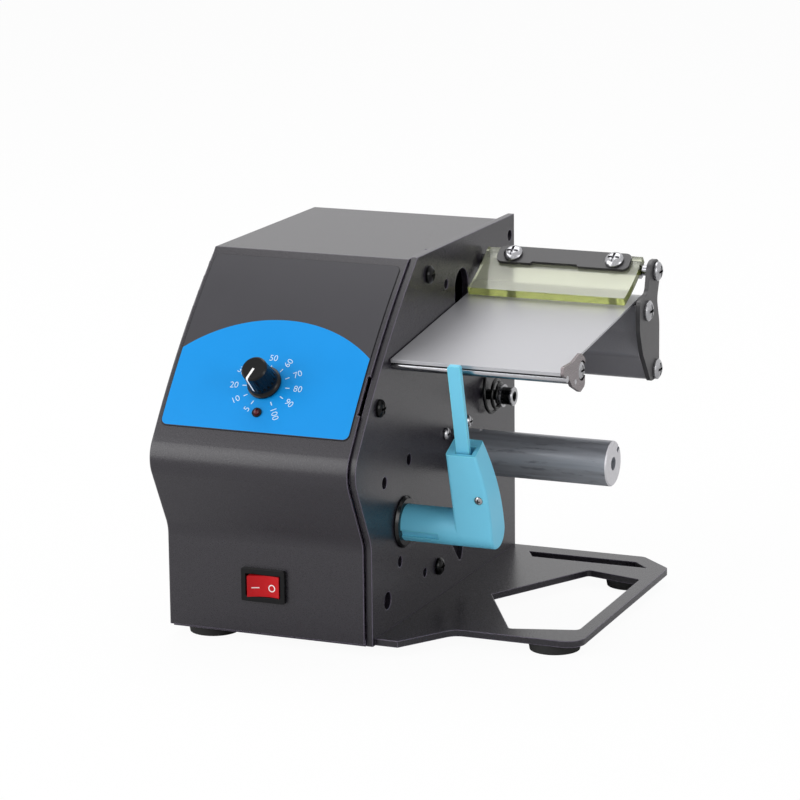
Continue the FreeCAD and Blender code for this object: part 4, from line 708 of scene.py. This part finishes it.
SLOT_NODES: dict[Surface, tuple[str, ...]] = {
    Surface.POWDER_COAT: ("side_plate", "base_plate", "base_angle", "front_cover", "rear_panel"),
    Surface.DARK_STEEL: ("end_bracket", "clamp_strip"),
    Surface.DARK_SHEET: ("backing_guide",),
    Surface.BRIGHT_SHEET: ("peel_table",),
    Surface.ROD_STEEL: ("support_rod", "guide_wire", "peel_rod", "tie_rods", "flap_shaft",
                        "drive_shaft"),
    Surface.CLIP_STEEL: ("end_clip",),
    Surface.SILVER_SCREW: ("motor_screws", "bracket_screws", "clip_screw", "strip_screws",
                           "flap_end_screw", "rear_screws", "foot_screws", "arm_screw",
                           "pot_nut", "pot_shaft", "take_up_grub", "tension_washer"),
    Surface.BLACK_SCREW: ("plate_screws", "tension_screw", "hub_ring", "flap_retainer"),
    Surface.SPRING_STEEL: ("tension_spring", "hub_spring"),
    Surface.BLACK_ANODISED: ("take_up_shaft",),
    Surface.HUB_BLACK: ("sensor_hub", "hub_lever"),
    Surface.ARM_BLUE: ("sensor_arm", "feeler_blade"),
    Surface.CLEAR_URETHANE: ("press_flap",),
    Surface.PANEL_FILM: ("control_overlay",),
    Surface.BLACK_PLASTIC: ("speed_knob", "power_switch_body", "led_bezel", "dc_inlet",
                            "microswitch"),
    Surface.WHITE_PAINT: ("knob_pointer",),
    Surface.RED_PLASTIC: ("power_rocker",),
    Surface.LAMP_LENS: ("led_lens",),
    Surface.FOOT_RUBBER: ("rubber_feet",),
    Surface.MOTOR_STEEL: ("gear_motor", "potentiometer"),
    Surface.BOARD_GREEN: ("circuit_board",),
    Surface.BOARD_PARTS: ("board_components",),
    Surface.NYLON: ("board_standoffs",),
}


class Paintbox:
    """Makes each finish once and hands out its material."""

    def __init__(self) -> None:
        """Builds the shared groups and starts with no material."""
        self.groups = SharedGroups()
        self.made: dict[str, bpy.types.Material] = {}

    def get(self, finish: Finish) -> bpy.types.Material:
        """Makes a finish's material on its first use.

        Args:
            finish: The finish.

        Returns:
            Its material.
        """
        if finish.name not in self.made:
            self.made[finish.name] = finish.make(self.groups)
        return self.made[finish.name]


# The machine's own frame

@dataclass
class Machine:
    """Places on the machine, in mm.

    x is from the side plate's outer face, y from its front edge and z from the base plate's
    underside.
    """

    plate_depth: float = 172.0
    origin: Vector = field(default_factory=Vector)

    def __post_init__(self) -> None:
        """Finds the machine's own origin from the side plate and the base plate."""
        _, plate_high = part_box("side_plate")
        base_low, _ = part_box("base_plate")
        self.origin = Vector((plate_high.x, plate_high.y - self.plate_depth * MM, base_low.z))

    def at(self, x: float, y: float, z: float) -> Vector:
        """Returns a place on the machine in the row frame, in metres."""
        return self.origin + Vector((x, y, z)) * MM


@dataclass
class PanelShape:
    """The crowned panel above the nose, and places on it, in mm and degrees."""

    machine: Machine
    front: float = -2.0
    nose_reach: float = 18.6
    nose_height: float = 81.3
    angle: float = 55.0
    lead: float = 10.7
    radius: float = 388.0
    film_top: float = 0.4

    def point(self, x: float, up: float, out: float = 0.0) -> Vector:
        """Finds a place on the panel.

        Args:
            x: Sideways from the side plate, in mm.
            up: Up the crown from its foot, in mm.
            out: Out of the film's face, in mm.

        Returns:
            The place in the row frame, in metres.
        """
        rise = math.radians(self.angle)
        foot_y = self.front - self.nose_reach + self.lead * math.cos(rise)
        foot_z = self.nose_height + self.lead * math.sin(rise)
        centre_y = foot_y + self.radius * math.sin(rise)
        centre_z = foot_z - self.radius * math.cos(rise)
        turn = rise - up / self.radius
        reach = self.radius + self.film_top + out
        return self.machine.at(x, centre_y - math.sin(turn) * reach,
                               centre_z + math.cos(turn) * reach)


# Sub-assemblies

@dataclass
class ControlPanel:
    """The printed film: its blue field, the dial's numbers and its ticks, in mm and degrees."""

    panel: PanelShape
    paints: Paintbox
    dial_x: float = -50.4
    dial_up: float = 29.5
    scale_drop: float = 1.1
    scale_start: float = 245.0
    scale_step: float = -30.8
    scale_squash: float = 0.9
    number_radius: float = 15.3
    number_room: float = 0.9
    number_size: float = 4.2
    number_digits: int = 2
    top_angle: float = 90.0
    upright_within: float = 15.0
    tick_inner: float = 9.3
    tick_outer: float = 11.3
    tick_width: float = 0.45
    print_thick: float = 0.03
    stroke_trim: float = -0.035
    field_left: float = -95.7
    field_right: float = -5.7
    field_low: float = 6.25
    field_edge_left: float = 44.1
    field_apex: float = 61.6
    field_apex_x: float = -54.6
    field_edge_right: float = 45.7
    columns: int = 88
    rows: int = 24
    corner_steps: int = 7
    film_left: float = -95.8
    film_right: float = -5.6
    film_low: float = 6.0
    film_high: float = 95.0
    film_corner: float = 2.8
    film_thick: float = 0.25
    line_width: float = 0.3
    line_sink: float = 0.3
    numbers: tuple[str, ...] = ("5", "10", "20", "30", "40", "50", "60", "70", "80", "90", "100")

    def build(self) -> None:
        """Makes the film and its print."""
        self.film()
        self.blue_field()
        self.dial_numbers()
        self.dial_ticks()

    def arc(self, x: float) -> float:
        """Finds the blue field's upper edge, on a circle through its two ends and its apex.

        Args:
            x: The place across the panel.

        Returns:
            Its height there.
        """
        points = ((self.field_left, self.field_edge_left), (self.field_apex_x, self.field_apex),
                  (self.field_right, self.field_edge_right))
        (ax, ay), (bx, by), (cx, cy) = points
        a, b, c = (px ** 2 + py ** 2 for px, py in points)
        double = 2 * (ax * (by - cy) + bx * (cy - ay) + cx * (ay - by))
        middle_x = (a * (by - cy) + b * (cy - ay) + c * (ay - by)) / double
        middle_y = (a * (cx - bx) + b * (ax - cx) + c * (bx - ax)) / double
        radius = math.hypot(ax - middle_x, ay - middle_y)
        return middle_y + math.sqrt(max(radius ** 2 - (x - middle_x) ** 2, 0.0))

    @staticmethod
    def rounded(x: float, left: float, right: float, corner: float) -> float:
        """Returns how far a rounded corner pulls an edge in at a place across it."""
        side = max(corner - min(x - left, right - x), 0.0)
        return corner - math.sqrt(max(corner ** 2 - side ** 2, 0.0))

    def across(self, left: float, right: float, corner: float) -> list[float]:
        """Spreads places across a layer, closer together in its rounded corners.

        Args:
            left: Its left edge.
            right: Its right edge.
            corner: The radius of its corners.

        Returns:
            The places from left to right.
        """
        turns = [math.radians(90 * i / self.corner_steps) for i in range(self.corner_steps)]
        near = [corner * (1 - math.cos(turn)) for turn in turns]
        width = right - left - 2 * corner
        middle = [corner + width * i / self.columns for i in range(self.columns + 1)]
        return ([left + step for step in near + middle]
                + [right - step for step in reversed(near)])

    def layer(self, places: list[float], low: Callable[[float], float],
              high: Callable[[float], float], outs: tuple[float, float]) -> Mesh:
        """Makes a thin closed layer on the crowned panel.

        Args:
            places: Where its columns stand across the panel.
            low: The height of its lower edge at a place.
            high: The height of its upper edge at a place.
            outs: How far its face and its back stand off the film.

        Returns:
            The mesh.
        """
        rows, column = self.rows, self.rows + 1
        count, last = len(places) * column, (len(places) - 1) * column
        vertices = []
        for out in outs:
            for x in places:
                foot, head = low(x), high(x)
                vertices += [self.panel.point(x, foot + (head - foot) * j / rows, out)
                             for j in range(column)]
        faces = []
        for i in range(len(places) - 1):
            for j in range(rows):
                a = i * column + j
                faces.append((a, a + column, a + column + 1, a + 1))
                faces.append(tuple(count + k for k in (a, a + 1, a + column + 1, a + column)))
        rim = ([i * column for i in range(len(places))] + [last + j for j in range(1, column)]
               + [i * column + rows for i in range(len(places) - 2, -1, -1)]
               + list(range(rows - 1, 0, -1)))
        for a, b in zip(rim, rim[1:] + rim[:1]):
            faces.append((a, b, count + b, count + a))
        return mesh_from(vertices, faces)

    def outline(self, grow: float, outs: tuple[float, float]) -> Mesh:
        """Makes a layer with the film's outline and its small rounded corners.

        Args:
            grow: How far it reaches past the film.
            outs: How far its face and its back stand off the film.

        Returns:
            The mesh.
        """
        left, right, corner = (self.film_left - grow, self.film_right + grow,
                               self.film_corner + grow)
        return self.layer(self.across(left, right, corner),
                          lambda x: self.film_low - grow + self.rounded(x, left, right, corner),
                          lambda x: self.film_high + grow - self.rounded(x, left, right, corner),
                          outs)

    def film(self) -> None:
        """The grey film itself, and a painted shadow line round it on the cover."""
        mesh = self.outline(0.0, (0.0, -self.film_thick))
        film = new_piece("printed_film", mesh, "machine",
                         self.paints.get(Surface.PANEL_FILM.value))
        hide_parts("control_overlay")
        # Painted shadow: a dark band on the cover round the film's edge.
        sunk = -self.film_thick - self.panel.film_top * self.line_sink
        mesh = self.outline(self.line_width, (-self.film_thick, sunk))
        new_piece("film_edge_shadow_line", mesh, "machine", self.paints.get(FILM_EDGE_SHADOW))

    def blue_field(self) -> None:
        """The blue ink below the arc, a thin closed layer on the film."""
        left, right, corner = self.field_left, self.field_right, self.film_corner
        mesh = self.layer(self.across(left, right, corner),
                          lambda x: self.field_low + self.rounded(x, left, right, corner),
                          self.arc, (self.print_thick, self.print_thick / 3))
        new_piece("print_blue_field", mesh, "machine", self.paints.get(PRINT_BLUE))

    def lay(self, mesh: Mesh) -> None:
        """Bends a flat mesh round the scale's centre onto the blue ink.

        Args:
            mesh: Its x is to the right of the centre, its y up the panel, in mm.
        """
        for vertex in mesh.vertices:
            x, y, z = vertex.co
            vertex.co = self.panel.point(self.dial_x + x, self.dial_up - self.scale_drop + y,
                                         self.print_thick * 2 + z)
        mesh.update()

    def dial_numbers(self) -> None:
        """The dial's plain numbers, read outwards on the right and inwards on the left."""
        work = bmesh.new()
        for i, text in enumerate(self.numbers):
            angle = self.scale_start + self.scale_step * i
            turn = math.radians(angle)
            reach = self.number_radius + self.number_room * (len(text) - self.number_digits)
            place = Matrix.Translation((reach * math.cos(turn),
                                        reach * math.sin(turn) * self.scale_squash, 0))
            flat = self.printed(text)
            flat.transform(place @ Matrix.Rotation(self.lean(angle), 4, "Z"))
            work.from_mesh(flat)
            bpy.data.meshes.remove(flat)
        mesh = bpy.data.meshes.new("numbers")
        work.to_mesh(mesh)
        work.free()
        self.lay(mesh)
        new_piece("dial_numbers", mesh, "machine", self.paints.get(PRINT_WHITE))

    def printed(self, text: str) -> Mesh:
        """Makes a flat mesh of a printed number, in mm.

        Args:
            text: The number.

        Returns:
            The mesh, with its middle at the origin.
        """
        curve = bpy.data.curves.new("text", "FONT")
        curve.body = text
        curve.size = self.number_size
        curve.offset = self.stroke_trim
        curve.align_x, curve.align_y = "CENTER", "CENTER"
        curve.extrude = self.print_thick / 2
        flat = plain_mesh(linked("text", curve))
        bpy.data.curves.remove(curve)
        return flat

    def lean(self, angle: float) -> float:
        """Finds how far a number is turned.

        Args:
            angle: Where it stands round the scale.

        Returns:
            Its turn, in radians.
        """
        if abs(angle - self.top_angle) < self.upright_within:
            return 0.0
        return math.radians(angle if angle < self.top_angle else angle - 180.0)

    def dial_ticks(self) -> None:
        """The short lines inside the numbers, by Geometry Nodes."""
        ring = TickRing(len(self.numbers), self.scale_start, self.scale_step,
                        (self.tick_inner + self.tick_outer) / 2,
                        (self.tick_outer - self.tick_inner, self.tick_width, self.print_thick))
        mesh = ring.mesh(self.paints.get(PRINT_WHITE))
        mesh.transform(Matrix.Diagonal((1.0, self.scale_squash, 1.0, 1.0)))
        self.lay(mesh)
        new_piece("dial_ticks", mesh, "machine")


@dataclass(frozen=True)
class TickRing:
    """A ring of like bars round a centre, made by Geometry Nodes, in mm and degrees."""

    count: int
    start: float
    step: float
    radius: float
    bar: Triple

    def mesh(self, material: bpy.types.Material) -> Mesh:
        """Puts points on the ring and a bar on each.

        Args:
            material: The bars' material.

        Returns:
            The bars as one plain mesh.
        """
        tree, given = start_bars("tick_ring", {"Start": "Float", "Step": "Float",
                                               "Radius": "Float"})
        index = tree.nodes.new("GeometryNodeInputIndex").outputs[0]
        turn = operate(tree, "MULTIPLY_ADD", index, given.outputs["Step"],
                       given.outputs["Start"])
        axis = add_node(tree, "ShaderNodeCombineXYZ", Z=turn)
        reach = add_node(tree, "ShaderNodeCombineXYZ", X=given.outputs["Radius"])
        place = tree.nodes.new("ShaderNodeVectorRotate")
        place.rotation_type = "EULER_XYZ"
        tree.links.new(reach.outputs[0], place.inputs["Vector"])
        tree.links.new(axis.outputs[0], place.inputs["Rotation"])
        points = add_node(tree, "GeometryNodePoints", Count=given.outputs["Count"],
                          Position=place.outputs[0])
        return finish_bars(tree, given, points.outputs[0], axis.outputs[0], {
            "Count": self.count, "Start": math.radians(self.start),
            "Step": math.radians(self.step), "Radius": self.radius, "Bar": self.bar,
            "Material": material})


@dataclass
class RockerMarks:
    """The off and on marks printed on the switch's dished rocker, in mm and degrees."""

    machine: Machine
    paints: Paintbox
    pivot_x: float = -51.0
    middle_z: float = 22.9
    tilt: float = 9.0
    dish_radius: float = 15.62
    dish_bottom: float = -4.09
    apart: float = 3.75
    bar_length: float = 3.4
    bar_steps: int = 8
    stroke: float = 0.42
    ring_radius: float = 1.45
    ring_steps: int = 40
    proud: float = 0.05

    def build(self) -> None:
        """Makes both marks as one piece that rides on the rocker."""
        half = self.stroke / 2
        bar = [[(self.bar_length * (i / self.bar_steps - 0.5) - self.apart, side * half)
                for i in range(self.bar_steps + 1)] for side in (-1, 1)]
        turns = [2 * math.pi * i / self.ring_steps for i in range(self.ring_steps)]
        ring = [[(self.apart + r * math.cos(t), r * math.sin(t)) for t in turns]
                for r in (self.ring_radius - half, self.ring_radius + half)]
        vertices, faces = [], []
        self.band(bar, False, vertices, faces)
        self.band(ring, True, vertices, faces)
        new_piece("rocker_marks", mesh_from(vertices, faces), "rocker",
                  self.paints.get(Surface.WHITE_PAINT.value))

    def place(self, across: float, up: float, out: float) -> Vector:
        """Finds a place on the dished front.

        Args:
            across: Across from its middle.
            up: Up from its middle.
            out: Out of its face.

        Returns:
            The place in the row frame, in metres.
        """
        depth = (self.dish_bottom - self.dish_radius
                 + math.sqrt(self.dish_radius ** 2 - across ** 2) - out)
        turned = Matrix.Rotation(math.radians(self.tilt), 2) @ Vector((across, depth))
        return self.machine.at(self.pivot_x + turned.x, turned.y, self.middle_z + up)

    def band(self, edges: list[list[tuple[float, float]]], closed: bool, vertices: list[Vector],
             faces: list[tuple[int, ...]]) -> None:
        """Adds a thin closed band between two lines of points on the rocker's face.

        Args:
            edges: The points along either side of the band.
            closed: Whether the band runs round to its start.
            vertices: The points made so far.
            faces: The faces made so far.
        """
        start, count = len(vertices), len(edges[0])
        for out in (self.proud, -self.proud):
            for edge in edges:
                vertices += [self.place(across, up, out) for across, up in edge]
        around = ((0, 1), (1, 3), (3, 2), (2, 0))
        for i in range(count if closed else count - 1):
            j = (i + 1) % count
            for a, b in around:
                corners = (a * count + i, a * count + j, b * count + j, b * count + i)
                faces.append(tuple(start + k for k in corners))
        if not closed:
            faces += [tuple(start + a * count + i for a in (0, 1, 3, 2)) for i in (0, count - 1)]


@dataclass(frozen=True)
class ShadeSlats:
    """Black slats inside the rear panel, a dark screen that keeps light out of its vents so that
    the inside stays in shade.

    They are made by Geometry Nodes, with sizes in mm and degrees.
    """

    machine: Machine
    paints: Paintbox
    slats: int = 11
    pitch: float = 6.6
    slat: Triple = (58.0, 0.7, 8.0)
    tilt: float = 18.0
    low: float = 58.0
    clearance: float = 1.6

    def build(self) -> None:
        """Makes the slats as one piece against the rear panel's inner face."""
        panel_low, panel_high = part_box("rear_panel")
        foot = Vector(((panel_low.x + panel_high.x) / 2, panel_low.y - self.clearance * MM,
                       self.machine.at(0, 0, self.low).z))
        tree, given = start_bars("slat_screen", {"Foot": "Vector", "Rise": "Vector",
                                                 "Tilt": "Float"})
        line = add_node(tree, "GeometryNodeMeshLine", Count=given.outputs["Count"],
                        Start_Location=given.outputs["Foot"], Offset=given.outputs["Rise"])
        lean = add_node(tree, "ShaderNodeCombineXYZ", X=given.outputs["Tilt"])
        mesh = finish_bars(tree, given, line.outputs[0], lean.outputs[0], {
            "Count": self.slats, "Foot": foot, "Rise": Vector((0, 0, self.pitch * MM)),
            "Tilt": math.radians(self.tilt), "Bar": Vector(self.slat) * MM,
            "Material": self.paints.get(Surface.BLACK_PLASTIC.value)})
        # Painted shade: the dark slats stand in for the shade behind the vents.
        new_piece("shade_slats", mesh, "machine")


# Studio

@dataclass(frozen=True)
class Softbox:
    """A square softbox: where it stands, the point it faces and its side, in metres, and watts."""

    name: str
    place: Triple
    aim: Triple
    size: float
    power: float

    def build(self) -> None:
        """Puts the lamp in the scene."""
        data = bpy.data.lights.new(self.name, "AREA")
        data.shape = "SQUARE"
        data.size = self.size
        data.energy = self.power
        lamp = linked(self.name, data)
        lamp.location = self.place
        away = Vector(self.place) - Vector(self.aim)
        lamp.rotation_euler = away.to_track_quat("Z", "Y").to_euler()


@dataclass
class Studio:
    """A plain pale floor, soft light and the photograph's camera."""

    camera_place: Triple = (621.26, -1482.23, 470.44)
    azimuth: float = 23.171
    elevation: float = 13.025
    roll: float = -0.611
    lens: float = 164.08
    sensor: float = 36.0
    clip_end: float = 20.0
    floor_size: float = 6.0
    floor_roughness: float = 0.9
    bench: float = 0.8
    bench_seen: float = 0.9
    bench_glow: float = 0.95
    even_light: float = 0.42
    lamps: tuple[Softbox, ...] = (
        Softbox("top_softbox", (-0.2, 0.45, 1.45), (0.0, 0.05, 0.1), 1.3, 12.0),
        Softbox("front_softbox", (-1.4, -1.35, 0.75), (0.0, 0.0, 0.08), 1.8, 32.0),
        Softbox("side_softbox", (1.7, -0.7, 0.6), (0.02, 0.02, 0.08), 0.8, 7.5),
    )

    def build(self) -> None:
        """Sets up the camera, the floor, the world and the lamps."""
        self.camera()
        self.floor()
        self.world()
        for lamp in self.lamps:
            lamp.build()
        bpy.context.scene.view_settings.view_transform = "Standard"

    def camera(self) -> None:
        """The photograph's viewpoint."""
        turn, rise = math.radians(self.azimuth), math.radians(self.elevation)
        back = Vector((math.sin(turn) * math.cos(rise), -math.cos(turn) * math.cos(rise),
                       math.sin(rise)))
        right = Vector((math.cos(turn), math.sin(turn), 0.0))
        up = back.cross(right)
        roll = math.radians(self.roll)
        rolled_right = right * math.cos(roll) + up * math.sin(roll)
        rolled_up = up * math.cos(roll) - right * math.sin(roll)
        view = Matrix((rolled_right, rolled_up, back)).transposed().to_4x4()
        data = bpy.data.cameras.new("photo_camera")
        data.lens = self.lens
        data.sensor_width = self.sensor
        data.clip_end = self.clip_end
        camera = linked("photo_camera", data)
        camera.matrix_world = Matrix.Translation(Vector(self.camera_place) * MM) @ view
        bpy.context.scene.camera = camera

    def floor(self) -> None:
        """A white bench top that keeps the machine's soft shadow."""
        half = self.floor_size / 2
        corners = ((-half, -half), (half, -half), (half, half), (-half, half))
        mesh = mesh_from([Vector((x, y, 0)) for x, y in corners], [(0, 1, 2, 3)])
        floor = linked("floor", mesh)
        material = bpy.data.materials.new("bench_white")
        material.use_nodes = True
        tree = material.node_tree
        shader = tree.nodes["Principled BSDF"]
        shader.inputs["Roughness"].default_value = self.floor_roughness
        white = add_node(tree, "ShaderNodeEmission", Color=WHITE, Strength=1.0)
        path = tree.nodes.new("ShaderNodeLightPath").outputs
        greys = [(grey, grey, grey, 1.0) for grey in (self.bench, self.bench_seen)]
        tree.links.new(mix_colours(tree, path["Is Camera Ray"], *greys),
                       shader.inputs["Base Color"])
        seen = operate(tree, "MAXIMUM", path["Is Camera Ray"], path["Is Transmission Ray"])
        share = operate(tree, "MULTIPLY", seen, self.bench_glow)
        self.blend(tree, share, shader, white, "Material Output")
        mesh.materials.append(material)

    def world(self) -> None:
        """White behind everything, and a plain even light."""
        world = bpy.data.worlds.new("studio")
        bpy.context.scene.world = world
        world.use_nodes = True
        tree = world.node_tree
        light = tree.nodes["Background"]
        light.inputs["Color"].default_value = WHITE
        light.inputs["Strength"].default_value = self.even_light
        white = add_node(tree, "ShaderNodeBackground", Color=WHITE, Strength=1.0)
        path = tree.nodes.new("ShaderNodeLightPath").outputs
        either = operate(tree, "MAXIMUM", path["Is Camera Ray"], path["Is Glossy Ray"])
        seen = operate(tree, "MAXIMUM", either, path["Is Transmission Ray"])
        self.blend(tree, seen, light, white, "World Output")

    @staticmethod
    def blend(tree: Tree, factor: Socket, low: Node, high: Node, output: str) -> None:
        """Mixes two shaders into a tree's output.

        Args:
            tree: The tree.
            factor: The mask.
            low: The shader where the mask is 0.
            high: The shader where it is 1.
            output: The output node's name.
        """
        mix = tree.nodes.new("ShaderNodeMixShader")
        for socket, source in zip(mix.inputs, (factor, low.outputs[0], high.outputs[0])):
            tree.links.new(source, socket)
        tree.links.new(mix.outputs[0], tree.nodes[output].inputs["Surface"])


def dress_nodes(nodes: dict[str, bpy.types.Object], paints: Paintbox) -> None:
    """Gives every CAD node the material of its slot.

    Args:
        nodes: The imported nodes.
        paints: The materials.
    """
    for surface, names in SLOT_NODES.items():
        for name in names:
            node = nodes[name]
            material = paints.get(surface.value)
            for slot in node.material_slots:
                slot.link = "OBJECT"
                slot.material = material
            log.info("node %s in %s", name, material.name)
    bare = sorted(set(nodes) - {name for names in SLOT_NODES.values() for name in names})
    if bare:
        log.warning("nodes with no finish: %s", bare)


def main() -> None:
    """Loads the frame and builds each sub-assembly round it."""
    logging.basicConfig(level=logging.INFO, format="%(name)s: %(message)s")
    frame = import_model()
    machine = Machine()
    paints = Paintbox()
    dress_nodes(frame["nodes"], paints)
    ControlPanel(PanelShape(machine), paints).build()
    RockerMarks(machine, paints).build()
    ShadeSlats(machine, paints).build()
    Studio().build()


if __name__ == "__main__":
    main()
